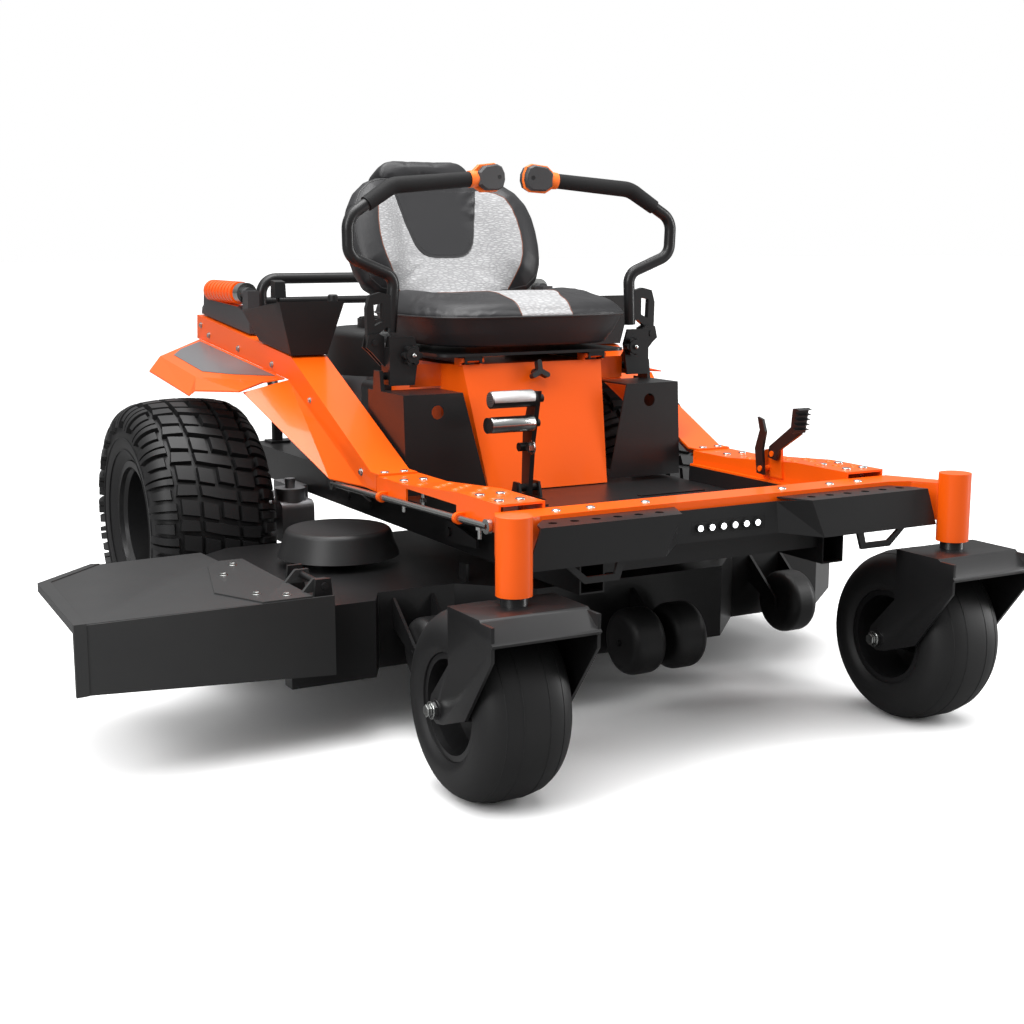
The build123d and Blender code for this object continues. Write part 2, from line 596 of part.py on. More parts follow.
def arm():
    """Folded arm: vertical outer wall, sloping top, inner return flange, and the flared wing below."""
    foot_z = STEP_REAR_Z + GAP / 3
    top = foot_z + SHEET
    wall = [(SIDE_REAR_Y - 10, foot_z), (SIDE_REAR_Y - 10, top), (ARM_FOOT_Y, top), (ARM_KNEE_Y, ARM_KNEE_Z)]
    wall += [(ARM_END_Y, ARM_END_Z), RAIL_EDGE_END, RAIL_EDGE_KNEE, (615, 435), (SIDE_REAR_Y + 2, 433)]
    wall += [(SIDE_REAR_Y + 2, foot_z)]
    body = side_slab(wall, -SIDE_OUT_X, SHEET)
    strip = [(SIDE_REAR_Y - 10, foot_z), (SIDE_REAR_Y - 10, top), (ARM_FOOT_Y, top), (ARM_KNEE_Y, ARM_KNEE_Z)]
    strip += [(ARM_END_Y, ARM_END_Z), (ARM_END_Y, ARM_END_Z - SHEET), (ARM_KNEE_Y + 1, ARM_KNEE_Z - SHEET - 1)]
    strip += [(ARM_FOOT_Y + 2, foot_z)]
    body += side_slab(strip, -SIDE_OUT_X, SIDE_OUT_X - SIDE_IN_X - 7)
    flange = [(ARM_FOOT_Y + 30, foot_z + 14), (ARM_KNEE_Y, ARM_KNEE_Z - 2), (ARM_END_Y, ARM_END_Z - 2)]
    flange += [(ARM_END_Y, ARM_END_Z - 40), (ARM_KNEE_Y + 20, ARM_KNEE_Z - 42), (ARM_FOOT_Y + 80, foot_z)]
    body += side_slab(flange, -SIDE_IN_X - 7 - SHEET, SHEET)
    edge = -SIDE_OUT_X + 1
    upper = (edge, RAIL_EDGE_KNEE[0], RAIL_EDGE_KNEE[1])
    lower = (edge, 615, 436)
    tip_low = (-447, 735, 437)
    tip_up = (-530, 1010, 594)
    body += folded([[upper, lower, tip_low], [upper, tip_low, tip_up]], (2, 0, -3))
    return body


def fender():
    """Fender over the rear tyre: an upper facet with a pointed outer corner and a skirt folded down."""
    start = -SIDE_OUT_X - GAP
    front = (start, 1040, fender_z(start, 1040))
    rear = (start, 1637, fender_z(start, 1637))
    kink = (-548, 1561, fender_z(-548, 1561))
    corner = (-554, 1262, fender_z(-554, 1262))
    nose = (-467, 1058, fender_z(-467, 1058))
    tip = (-582, 1540, 604)
    low_tip = (-586, 1214, 573)
    low_mid = (-584, 1176, 587)
    low_front = (-545, 990, 599)
    facets = [[front, rear, kink, corner, nose]]
    facets += [[kink, tip, low_tip], [kink, low_tip, corner], [corner, low_tip, low_mid]]
    facets += [[corner, low_mid, low_front], [corner, low_front, nose]]
    return folded(facets, (0, 0, -3))


def console():
    """Tapered bin on the arm: an open-topped tray with a flat bottom and a small tab for the knob."""
    def shell(inset, lift):
        low = [(-424 + inset, 992 + inset, 670 + lift), (-340 - inset, 992 + inset, 670 + lift),
               (-340 - inset, 1190 - inset, 690 + lift), (-424 + inset, 1190 - inset, 690 + lift)]
        high = [(-452 + inset, 984 + inset, 786 + lift / 4), (-300 - inset, 984 + inset, 786 + lift / 4),
                (-300 - inset, 1226 - inset, 760 + lift / 4), (-452 + inset, 1226 - inset, 760 + lift / 4)]
        lower = Face(Wire.make_polygon([Vector(*p) for p in low], close=True))
        upper = Face(Wire.make_polygon([Vector(*p) for p in high], close=True))
        return loft([lower, upper], ruled=True)
    tray = shell(0, 0) - shell(3.5, 4)
    tab = block((-336, 988, 770), (-304, 1022, 776))
    tab -= rod((KNOB_X, KNOB_Y, 760), (KNOB_X, KNOB_Y, 790), KNOB_STEM_R + RUNNING_FIT)
    pin = rod((-345, THROTTLE_Y, THROTTLE_Z), (-362, THROTTLE_Y, THROTTLE_Z), 4)
    ear = block((-345, THROTTLE_Y - 14, THROTTLE_Z - 24), (-341, THROTTLE_Y + 10, THROTTLE_Z + 12))
    link = block((-370, 1204, THROTTLE_Z - 26), (-341, THROTTLE_Y + 4, THROTTLE_Z - 20))
    return tray + tab, ear + pin + link


KNOB_X = -320.0
KNOB_Y = 1004.0
KNOB_STEM_R = 4.0


def consoles():
    right_tray, bracket = console()
    return group([right_tray + bracket, mirrored(right_tray)])


def pto_knob():
    """Push-pull knob of the blade clutch on the console's inner tab."""
    stem = rod((KNOB_X, KNOB_Y, 760), (KNOB_X, KNOB_Y, 779), KNOB_STEM_R)
    cap = rod((KNOB_X, KNOB_Y, 779), (KNOB_X, KNOB_Y, 800), 11)
    return stem + fillet(cap.edges().sort_by(Axis.Z)[-1], 4)


def throttle_lever():
    """Lever plate with a flat hand grip."""
    plate = [(THROTTLE_Y - 10, THROTTLE_Z - 10), (THROTTLE_Y + 10, THROTTLE_Z - 10)]
    plate += [(THROTTLE_Y + 4, THROTTLE_Z + 50), (THROTTLE_Y - 8, THROTTLE_Z + 50)]
    lever = side_slab(plate, -360, 4)
    lever += side_slab([(THROTTLE_Y - 22, THROTTLE_Z + 44), (THROTTLE_Y + 12, THROTTLE_Z + 44),
                        (THROTTLE_Y + 8, THROTTLE_Z + 84), (THROTTLE_Y - 18, THROTTLE_Z + 80)], -371, 26)
    return lever - rod((-380, THROTTLE_Y, THROTTLE_Z), (-340, THROTTLE_Y, THROTTLE_Z), 4 + RUNNING_FIT)


def isolator_mount():
    """Ribbed spring unit on its grey bracket, one above each rear rail."""
    z = 793.0
    y0 = 1382.0
    y1 = 1588.0
    x = -398.0
    bracket = side_slab([(1290, 701), (1290, 742), (1380, 762), (1600, 772), (1640, 750), (1645, 734)], x - 14, 28)
    post = side_slab([(1600, 740), (1600, 800), (1622, 800), (1630, 740)], x - 14, 28)
    front = side_slab([(1296, 720), (1296, 800), (1330, 800), (1338, 740)], x - 14, 28)
    cylinder = rod((x, y0, z), (x, y1, z), 20)
    ribs = 9
    pitch = (y1 - y0) / ribs
    for i in range(ribs):
        cylinder += rod((x, y0 + i * pitch + 3, z), (x, y0 + (i + 1) * pitch - 3, z), 27)
    neck = rod((x, 1320, z), (x, y0 + 2, z), 14) + rod((x, 1340, z), (x, 1372, z), 25)
    tail = rod((x, y1 - 2, z), (x, 1612, z), 9)
    return bracket + post + front + cylinder + neck + tail


# ---------------------------------------------------------------- steering levers (right-hand side)
def control_bracket():
    """Upright plate that swings fore and aft, with a star knob, and a clevis for the lever."""
    plate = front_slab([(-318, 622), (-262, 622), (-252, 690), (-262, 722), (-318, 722)], 712, 6)
    cheek = side_slab([(712, 622), (712, 722), (736, 722), (768, 660), (760, 622)], -312, 6)
    cheek_in = side_slab([(712, 622), (712, 700), (730, 690), (764, 656), (758, 622)], -280, 6)
    body = plate + cheek + cheek_in
    ear_line = [(-318, 660), (-318, 722), (-330, 728), (-352, 726), (-358, 700), (-346, 690)]
    for y in (SWING_Y - 13, SWING_Y + 7):
        body += front_slab(ear_line, y, 6)
    body += block((-318, 712, 660), (-306, SWING_Y + 13, 700))
    body -= rod((-400, LEVER_PIVOT_Y, LEVER_PIVOT_Z), (-200, LEVER_PIVOT_Y, LEVER_PIVOT_Z), LEVER_PIN_R + RUNNING_FIT)
    body += rod((-SWING_X, SWING_Y - 18, SWING_Z), (-SWING_X, SWING_Y + 18, SWING_Z), SWING_PIN_R)
    knob = rod((-272, 712, 684), (-272, 694, 684), 15)
    for i in range(6):
        angle = math.radians(60 * i)
        x = -272 + 15 * math.cos(angle)
        z = 684 + 15 * math.sin(angle)
        knob += rod((x, 712, z), (x, 696, z), 6)
    stud = rod((-272, 696, 684), (-272, 690, 684), 5)
    return body + knob + stud


LEVER_POINTS = [(-296, 756, 730), (-288, 751, 843), (-391, 744, 884), (-393, 742, 962), (-289, 753, 1027),
                (-104, 765, 1043)]
LEVER_BENDS = [30, 34, 42, 60]


def lever_tube():
    """Bent lever tube with the plate that hangs it on the bracket's clevis."""
    tube = lever_tube_core() - bent_tube(LEVER_POINTS, LEVER_BENDS, LEVER_TUBE_R - LEVER_TUBE_WALL)
    outline = [(-352, 700), (-328, 700), (-326, 728), (-310, 740), (-300, 740), (-300, 806), (-322, 812)]
    outline += [(-346, 806), (-354, 780)]
    plate = front_slab(outline, SWING_Y - 7 + GAP, 14 - 2 * GAP)
    plate -= rod((-SWING_X, SWING_Y - 20, SWING_Z), (-SWING_X, SWING_Y + 20, SWING_Z), SWING_PIN_R + RUNNING_FIT)
    window = front_slab([(-336, 744), (-318, 752), (-318, 790), (-338, 786)], SWING_Y - 9, 20)
    plate -= bent_tube(LEVER_POINTS, LEVER_BENDS, LEVER_TUBE_R - 1)
    return tube + (plate - window)


def lever_grip():
    """Foam sleeve on the tube's upper run and the rounded head on its end."""
    start = Vector(*LEVER_POINTS[3])
    bend = Vector(*LEVER_POINTS[4])
    end = Vector(*LEVER_POINTS[5])
    first = start + (bend - start) * 0.42
    points = [tuple(first), tuple(bend), tuple(end - (end - bend).normalized() * 2)]
    sleeve = bent_tube(points, [60], GRIP_R) - lever_tube_core()
    axis = (end - bend).normalized()
    head_start = end - axis * 1
    plane = Plane(origin=head_start, x_dir=(0, 1, 0), z_dir=axis)
    collar = extrude(plane.offset(0) * RectangleRounded(34, 36, 12), amount=12)
    head = extrude(plane.offset(11) * RectangleRounded(44, 52, 14), amount=66)
    head = fillet(head.faces().sort_by(Axis.X)[-1].edges(), 9)
    body = collar + head
    body -= rod(tuple(end - axis * 3), tuple(end + axis), LEVER_TUBE_R + 1)
    return group([sleeve, body])


def lever_tube_core():
    """The space that the tube takes inside the sleeve."""
    return bent_tube(LEVER_POINTS, LEVER_BENDS, LEVER_TUBE_R)


# ---------------------------------------------------------------- seat
def seat_base():
    """Tilting seat pan with its two slide channels and hinge ears."""
    pan = block((-225, 656, 680), (225, 1060, 686))
    pan = fillet(pan.edges().filter_by(Axis.Z), 30)
    for sign in (-1, 1):
        x = sign * 150
        pan += block((x - 20, 662, BOX_TOP_Z + 3), (x + 20, 1040, 681))
        pan -= block((x - 15, 640, BOX_TOP_Z + 1), (x + 15, 1100, BOX_TOP_Z + 9))
    pan -= rod((-200, SEAT_HINGE_Y, SEAT_HINGE_Z), (200, SEAT_HINGE_Y, SEAT_HINGE_Z), HINGE_PIN_R + RUNNING_FIT)
    return pan


def seat_hinges():
    """Fixed hinge pins and their ears on the seat box's top."""
    pins = []
    for sign in (-1, 1):
        x = sign * 150
        pin = rod((x - 26, SEAT_HINGE_Y, SEAT_HINGE_Z), (x + 26, SEAT_HINGE_Y, SEAT_HINGE_Z), HINGE_PIN_R)
        for edge in (-1, 1):
            low = min(x + edge * 21, x + edge * 26)
            pin += block((low, SEAT_HINGE_Y + 6, BOX_TOP_Z - 1), (low + 5, SEAT_HINGE_Y + 30, BOX_TOP_Z + 14))
            pin += block((low, SEAT_HINGE_Y - 5, SEAT_HINGE_Z - 4), (low + 5, SEAT_HINGE_Y + 30, SEAT_HINGE_Z + 4))
        pins.append(pin)
    return pins


def seat_cushion():
    """Seat cushion, widest at its seam above a skirt that narrows downwards, with its slide feet."""
    levels = [(CUSHION_BOTTOM_Z, 46, 28), (CUSHION_SEAM_Z, 0, 0), (CUSHION_TOP_Z, 34, 34)]
    middle_y = (CUSHION_FRONT_Y + CUSHION_REAR_Y) / 2
    plans = []
    for z, in_x, in_y in levels:
        plan = RectangleRounded(2 * (SEAT_HALF_W - in_x), CUSHION_REAR_Y - CUSHION_FRONT_Y - 2 * in_y, SEAT_CORNER_R)
        plans.append(Pos(0, middle_y, z) * plan)
    cushion = loft(plans[:2], ruled=True) + loft(plans[1:], ruled=True)
    feet = block((-190, 700, 686 + GAP), (190, 1000, CUSHION_BOTTOM_Z + 2))
    return cushion + feet


def recline_plane():
    """Local plane of the backrest: origin at its foot on the front face, x across, z up the back."""
    angle = math.radians(BACK_RECLINE)
    up = (0, math.sin(angle), math.cos(angle))
    return Plane(origin=(0, 1048, 785), x_dir=(1, 0, 0), z_dir=up)


def seat_backrest():
    """Backrest with rounded shoulders and forward bolsters, and the bracket that ties it to the cushion."""
    base = recline_plane()
    angle = math.radians(BACK_RECLINE)
    front = Plane(origin=base.origin, x_dir=(1, 0, 0), z_dir=(0, -math.cos(angle), math.sin(angle)))
    outline = [(-BACK_HALF_W + 40, 0), (BACK_HALF_W - 40, 0), (BACK_HALF_W - 6, 60), (BACK_HALF_W, 150)]
    outline += [(BACK_HALF_W - 24, 230), (BACK_HALF_W - 96, BACK_LENGTH), (-BACK_HALF_W + 96, BACK_LENGTH)]
    outline += [(-BACK_HALF_W + 24, 230), (-BACK_HALF_W, 150), (-BACK_HALF_W + 6, 60)]
    back = extrude(front * make_face(Polyline(*outline, close=True)), amount=-BACK_THICK + 20)
    for sign in (-1, 1):
        bolster = [(sign * (BACK_HALF_W - 120), 40), (sign * (BACK_HALF_W - 22), 40), (sign * (BACK_HALF_W - 2), 150)]
        bolster += [(sign * (BACK_HALF_W - 26), 226), (sign * (BACK_HALF_W - 110), 266)]
        tip = [(x * 0.92 + sign * 12, 12 + v * 0.9) for x, v in bolster]
        crest = front.offset(BOLSTER_HEIGHT) * make_face(Polyline(*tip, close=True))
        back += loft([front.offset(-2) * make_face(Polyline(*bolster, close=True)), crest], ruled=True)
    bracket = block((-170, CUSHION_REAR_Y + GAP, CUSHION_BOTTOM_Z), (170, CUSHION_REAR_Y + 18, 812))
    return back + bracket


def headrest():
    """Small pad that stands on the backrest's top edge."""
    angle = math.radians(BACK_RECLINE)
    base = recline_plane()
    start = base.origin + Vector(*base.z_dir) * (BACK_LENGTH + GAP) + Vector(0, math.cos(angle), -math.sin(angle)) * 14
    front = Plane(origin=start, x_dir=(1, 0, 0), z_dir=(0, -math.cos(angle), math.sin(angle)))
    outline = [(-128, 0), (128, 0), (120, 44), (100, 56), (-100, 56), (-120, 44)]
    pad = extrude(front * make_face(Polyline(*outline, close=True)), amount=-82)
    return fillet(pad.faces().sort_by(Axis((0, 0, 0), front.z_dir))[-1].edges(), 14)


# ---------------------------------------------------------------- mowing deck
SPINDLES = {"left": (SPINDLE_X, SPINDLE_Y), "centre": (0.0, CENTRE_SPINDLE_Y), "right": (-SPINDLE_X, SPINDLE_Y)}


def deck_outline(inset):
    """Plan of the deck, narrowing to its nose."""
    i = inset
    points = [(-685 + i, 345 + i), (-520 - i, 345 + i), (-490 - i, 402 + i), (-330, 402 + i), (-215 + i, 285 + i)]
    points += [(215 - i, 285 + i), (330, 402 + i), (560 - i, 402 + i), (700 - i, 520 + i), (700 - i, 840 - i)]
    points += [(600 - i, 945 - i), (-600 + i, 945 - i), (-685 + i, 880 - i)]
    return points


def deck_shell():
    """Pressed deck: a top plate, a skirt with the discharge opening, hinge lugs, hangers and brackets."""
    shell = top_slab(deck_outline(0), DECK_BOTTOM_Z, DECK_TOP_Z - DECK_BOTTOM_Z)
    shell -= top_slab(deck_outline(DECK_SHEET), DECK_BOTTOM_Z - 1, DECK_TOP_Z - DECK_BOTTOM_Z - DECK_SHEET + 1)
    shell -= block((-700, 380, DECK_BOTTOM_Z - 1), (-640, 800, DECK_TOP_Z - DECK_SHEET - 6))
    for x, y in SPINDLES.values():
        shell += rod((x, y, DECK_TOP_Z - 50), (x, y, DECK_TOP_Z + 16), 34)
        shell -= rod((x, y, DECK_TOP_Z - 60), (x, y, DECK_TOP_Z + 20), SPINDLE_SHAFT_R + RUNNING_FIT)
    for y in (332, 470):
        lug = front_slab([(-606, DECK_TOP_Z - 2), (-648, DECK_TOP_Z - 2), (-640, CHUTE_HINGE_Z + 12),
                          (-612, CHUTE_HINGE_Z + 12)], y, 8)
        shell += lug
    shell += rod((-CHUTE_HINGE_X, 326, CHUTE_HINGE_Z), (-CHUTE_HINGE_X, 486, CHUTE_HINGE_Z), CHUTE_HINGE_R)
    for y in (FRONT_CRANK_Y, REAR_CRANK_Y):
        for sign in (-1, 1):
            shell += block((sign * 300 - 3, y - 34, DECK_TOP_Z - 2), (sign * 300 + 3, y - 4, DECK_TOP_Z + 34))
    axle = ROLLER_AXLE_R
    shell += rod((-NOSE_ROLLER_X * 2 + 4, NOSE_ROLLER_Y, ROLLER_Z), (NOSE_ROLLER_X * 2 - 4, NOSE_ROLLER_Y, ROLLER_Z), axle)
    shell += side_slab([(NOSE_ROLLER_Y - 12, ROLLER_Z - 12), (NOSE_ROLLER_Y - 12, ROLLER_Z + 12),
                        (287, DECK_TOP_Z - 20), (287, DECK_TOP_Z - 70)], -4, 8)
    for sign in (-1, 1):
        x = sign * GAUGE_X
        shell += rod((x - 44, GAUGE_Y, ROLLER_Z), (x + 44, GAUGE_Y, ROLLER_Z), axle)
        for edge in (-1, 1):
            plate_x = x + edge * 40 - 3
            shell += side_slab([(GAUGE_Y - 12, ROLLER_Z - 12), (GAUGE_Y - 12, ROLLER_Z + 12),
                                (404, DECK_TOP_Z - 12), (404, DECK_TOP_Z - 70)], plate_x, 6)
    return shell


def belt_covers():
    """Three hollow domes over the spindle pulleys, joined by low belt guards."""
    low = DECK_TOP_Z + 17
    covers = []
    for x, y in SPINDLES.values():
        dome = extrude(Pos(x, y, low) * Circle(COVER_R), amount=COVER_TOP_Z - low, taper=18)
        dome = fillet(dome.edges().sort_by(Axis.Z)[-1], 12)
        inner = extrude(Pos(x, y, low - 1) * Circle(COVER_R - 3.5), amount=COVER_TOP_Z - low - 3, taper=18)
        covers.append(dome - inner)
    return group(covers)


def nose_rollers():
    """Pair of anti-scalp rollers that share the deck's nose bracket."""
    rollers = []
    for sign in (-1, 1):
        x = sign * NOSE_ROLLER_X
        wheel = rod((x - 36, NOSE_ROLLER_Y, ROLLER_Z), (x + 36, NOSE_ROLLER_Y, ROLLER_Z), ROLLER_R)
        wheel = fillet(wheel.edges().filter_by(GeomType.CIRCLE), 22)
        wheel -= rod((x - 60, NOSE_ROLLER_Y, ROLLER_Z), (x + 60, NOSE_ROLLER_Y, ROLLER_Z), ROLLER_AXLE_R + RUNNING_FIT)
        rollers.append(wheel)
    return rollers


def gauge_wheel(sign):
    """One corner anti-scalp wheel."""
    x = sign * GAUGE_X
    wheel = rod((x - 34, GAUGE_Y, ROLLER_Z), (x + 34, GAUGE_Y, ROLLER_Z), ROLLER_R)
    wheel = fillet(wheel.edges().filter_by(GeomType.CIRCLE), 20)
    return wheel - rod((x - 60, GAUGE_Y, ROLLER_Z), (x + 60, GAUGE_Y, ROLLER_Z), ROLLER_AXLE_R + RUNNING_FIT)


def blade(name):
    """Spindle shaft with its pulley and a mulching blade."""
    x, y = SPINDLES[name]
    shaft = rod((x, y, BLADE_Z - 12), (x, y, COVER_TOP_Z - 14), SPINDLE_SHAFT_R)
    pulley = rod((x, y, DECK_TOP_Z + 24), (x, y, DECK_TOP_Z + 44), 62)
    groove = rod((x, y, DECK_TOP_Z + 29), (x, y, DECK_TOP_Z + 39), 63) - rod((x, y, DECK_TOP_Z + 29),
                                                                       (x, y, DECK_TOP_Z + 39), 54)
    bar = block((x - BLADE_LENGTH / 2, y - 30, BLADE_Z - 3), (x + BLADE_LENGTH / 2, y + 30, BLADE_Z + 3))
    for sign in (-1, 1):
        edge = sign * 30
        low = min(y + edge, y + edge * 0.6)
        start = x + sign * BLADE_LENGTH / 2
        bar += block((min(start, start - sign * 110), low, BLADE_Z), (max(start, start - sign * 110), low + 12, BLADE_Z + 22))
    circle = rod((x, y, BLADE_Z - 10), (x, y, BLADE_Z + 30), BLADE_LENGTH / 2)
    bar = bar & circle
    return shaft + (pulley - groove) + bar


def discharge_chute():
    """Flexible grass chute: a top with a raised rim, a front wall, a low rear skirt, and its hinge plate."""
    top_z = CHUTE_TOP_Z
    outline = [(-656, CHUTE_FRONT_Y), (-CHUTE_OUT_X, CHUTE_FRONT_Y), (-1050, 660), (-922, 785), (-702, 800)]
    outline += [(-690, 560)]
    top = top_slab(outline, top_z - CHUTE_WALL, CHUTE_WALL)
    front = front_slab([(-612, 150), (-612, top_z), (-CHUTE_OUT_X, top_z - 1), (-CHUTE_OUT_X, 176)],
                       CHUTE_FRONT_Y - CHUTE_WALL, CHUTE_WALL)
    rear = folded([[(-922, 785, top_z), (-702, 800, top_z), (-702, 800, 225), (-922, 785, 235)]], (0, -CHUTE_WALL, 0))
    rim_line = [(-CHUTE_OUT_X - 4, CHUTE_FRONT_Y - 6), (-1054, 664), (-925, 790), (-909, 784), (-1030, 664)]
    rim_line += [(-CHUTE_OUT_X + 17, CHUTE_FRONT_Y)]
    rim = top_slab(rim_line, top_z - 14, 16)
    band = front_slab([(-CHUTE_OUT_X - 4, 174), (-CHUTE_OUT_X - 4, top_z + 2), (-CHUTE_OUT_X + 17, top_z + 2),
                       (-CHUTE_OUT_X + 17, 175)], CHUTE_FRONT_Y - CHUTE_WALL - 2, CHUTE_WALL + 4)
    plate = top_slab([(-653, CHUTE_FRONT_Y - 2), (-745, CHUTE_FRONT_Y - 2), (-796, 428), (-735, 652),
                      (-700, 690), (-653, 690)], top_z, 3)
    ears = []
    for y in (352, 440):
        ear = front_slab([(-660, top_z + 1), (-606, top_z + 1), (-612, CHUTE_HINGE_Z + 9), (-638, CHUTE_HINGE_Z + 9)],
                         y, 8)
        ears.append(ear)
    body = top + front + rear + rim + band + plate + ears[0] + ears[1]
    return body - rod((-CHUTE_HINGE_X, 300, CHUTE_HINGE_Z), (-CHUTE_HINGE_X, 500, CHUTE_HINGE_Z),
                      CHUTE_HINGE_R + RUNNING_FIT)


# ---------------------------------------------------------------- lift linkage and pedals
def lift_pedal():
    """Foot arm with two pegs, the upper one knurled, hinged at the floor."""
    x = -PEDAL_X
    line = [(PEDAL_PIVOT_Y - 14, PEDAL_PIVOT_Z - 14), (PEDAL_PIVOT_Y + 14, PEDAL_PIVOT_Z - 10),
            (PEDAL_PIVOT_Y + 8, 540), (PEDAL_PIVOT_Y - 22, 618), (PEDAL_PIVOT_Y - 52, 620), (PEDAL_PIVOT_Y - 28, 520)]
    pedal = side_slab(line, x - 5, 10)
    for y, z in ((PEDAL_PIVOT_Y - 38, 604), (PEDAL_PIVOT_Y - 24, 553)):
        pedal += rod((x - 105, y, z), (x - 4, y, z), PEG_R)
        pedal += rod((x - 6, y, z), (x + 14, y, z), 8)
    pedal += rod((x - 5, PEDAL_PIVOT_Y - 12, 504), (x - 26, PEDAL_PIVOT_Y - 12, 504), 9)
    pin = rod((x - 40, PEDAL_PIVOT_Y, PEDAL_PIVOT_Z), (x + 40, PEDAL_PIVOT_Y, PEDAL_PIVOT_Z), PEDAL_PIN_R + RUNNING_FIT)
    return pedal - pin


def pedal_stand():
    """Fixed clevis and pin that carry the lift pedal, on the floor."""
    x = -PEDAL_X
    stand = None
    for edge in (-1, 1):
        low = min(x + edge * 7, x + edge * 12)
        cheek = side_slab([(PEDAL_PIVOT_Y - 20, FLOOR_Z + GAP), (PEDAL_PIVOT_Y + 20, FLOOR_Z + GAP),
                           (PEDAL_PIVOT_Y + 11, PEDAL_PIVOT_Z + 12), (PEDAL_PIVOT_Y - 11, PEDAL_PIVOT_Z + 12)],
                          low + (14 if edge > 0 else -14), 5)
        stand = cheek if stand is None else stand + cheek
    return stand + rod((x - 27, PEDAL_PIVOT_Y, PEDAL_PIVOT_Z), (x + 27, PEDAL_PIVOT_Y, PEDAL_PIVOT_Z), PEDAL_PIN_R)


def lift_shaft(y):
    """Cross shaft with a bellcrank outside each frame tube."""
    shaft = rod((-CRANK_END_X, y, CRANK_Z), (CRANK_END_X, y, CRANK_Z), CRANK_SHAFT_R)
    for sign in (-1, 1):
        line = [(y - 6, CRANK_Z - 20), (y + 14, CRANK_Z - 16), (y + 20, CRANK_Z + 4), (y + 6, CRANK_Z + 20),
                (y - 10, CRANK_Z + 20), (y - CRANK_ARM, CRANK_Z + 2), (y - CRANK_ARM, CRANK_Z - 14)]
        shaft += side_slab(line, sign * 318 - 3, 6)
    return shaft


def lift_rod():
    """Zinc rod along the right side rail, with a flat eye at each end."""
    front = (-ROD_X, ROD_FRONT[0], ROD_FRONT[1])
    rear = (-ROD_X, ROD_REAR[0], ROD_REAR[1])
    bar = rod(front, rear, ROD_R)
    for y, z in (ROD_FRONT, ROD_REAR):
        eye = rod((-ROD_X - 4, y, z), (-ROD_X + 4, y, z), 13)
        bar += eye - rod((-ROD_X - 9, y, z), (-ROD_X + 9, y, z), 5)
    return bar


def rod_guides():
    """Rings on the side rail's outer wall that the lift rod slides through."""
    fall = (ROD_REAR[1] - ROD_FRONT[1]) / (ROD_REAR[0] - ROD_FRONT[0])
    rings = []
    for y in (176.0, 500.0):
        low = (-ROD_X, y, ROD_FRONT[1] + (y - ROD_FRONT[0]) * fall)
        high = (-ROD_X, y + 10, ROD_FRONT[1] + (y + 10 - ROD_FRONT[0]) * fall)
        ring = rod(low, high, ROD_R + 4) + block((-ROD_X, y, low[2] - 4), (-SIDE_OUT_X + 1, y + 10, low[2] + 10))
        rings.append(ring)
    return rings


def brake_pedal():
    """Parking brake arm with a serrated pad, hinged on the left side rail."""
    y = BRAKE_PIVOT_Y
    z = BRAKE_PIVOT_Z
    arm_line = [(y - 12, z - 12), (y + 12, z - 8), (y + 10, z + 14), (y - 60, z + 62), (y - 78, z + 96), (y - 96, z + 98)]
    arm_line += [(y - 86, z + 48), (y - 20, z + 8)]
    pedal = side_slab(arm_line, 316, 6)
    pad = side_slab([(y - 100, z + 100), (y - 92, z + 52), (y - 84, z + 52), (y - 90, z + 101)], 292, 32)
    for i in range(5):
        tooth_z = z + 56 + i * 10
        pad += side_slab([(y - 91 - i * 1.6, tooth_z), (y - 104 - i * 1.6, tooth_z + 3), (y - 92 - i * 1.6, tooth_z + 6)], 292, 32)
    pedal = pedal + pad
    return pedal - rod((300, y, z), (340, y, z), 6 + RUNNING_FIT)


def brake_release():
    """Curved hook lever beside the brake pedal."""
    y = RELEASE_PIVOT_Y
    z = RELEASE_PIVOT_Z
    line = [(y - 10, z - 12), (y + 12, z - 10), (y + 20, z + 40), (y + 6, z + 78), (y + 14, z + 104), (y - 2, z + 100)]
    line += [(y - 12, z + 76), (y - 4, z + 40)]
    lever = side_slab(line, 306, 6)
    return lever - rod((300, y, z), (340, y, z), 6 + RUNNING_FIT)


def brake_pins():
    """Fixed pins of the two brake levers on the left side rail's inner face."""
    ear = side_slab([(BRAKE_PIVOT_Y - 20, SIDE_BOTTOM_Z + 12), (RELEASE_PIVOT_Y + 22, SIDE_BOTTOM_Z + 12),
                     (RELEASE_PIVOT_Y + 14, BRAKE_PIVOT_Z + 4), (BRAKE_PIVOT_Y - 14, BRAKE_PIVOT_Z + 14)],
                    SIDE_IN_X - 5, 6)
    return [ear, rod((314, BRAKE_PIVOT_Y, BRAKE_PIVOT_Z), (330, BRAKE_PIVOT_Y, BRAKE_PIVOT_Z), 6),
            rod((303, RELEASE_PIVOT_Y, RELEASE_PIVOT_Z), (333, RELEASE_PIVOT_Y, RELEASE_PIVOT_Z), 6)]


# ---------------------------------------------------------------- engine and rear
def engine_block():
    """Upright crankcase with two finned cylinders and the drive pulley below the plate."""
    z = PLATE_Z + PLATE_THICK + GAP
    body = block((-120, ENGINE_Y - 130, z), (120, ENGINE_Y + 110, z + 190))
    body = fillet(body.edges().filter_by(Axis.Z), 30)
    for sign in (-1, 1):
        start = (sign * 60, ENGINE_Y + 20, z + 110)
        body += rod(start, (sign * 215, ENGINE_Y + 90, z + 110), 46)
        for i in range(7):
            t = 0.45 + i * 0.08
            here = (start[0] + (sign * 215 - start[0]) * t, start[1] + 70 * t, z + 110)
            there = (here[0] + sign * 4, here[1] + 2, here[2])
            body += rod(here, there, 58)
    return body


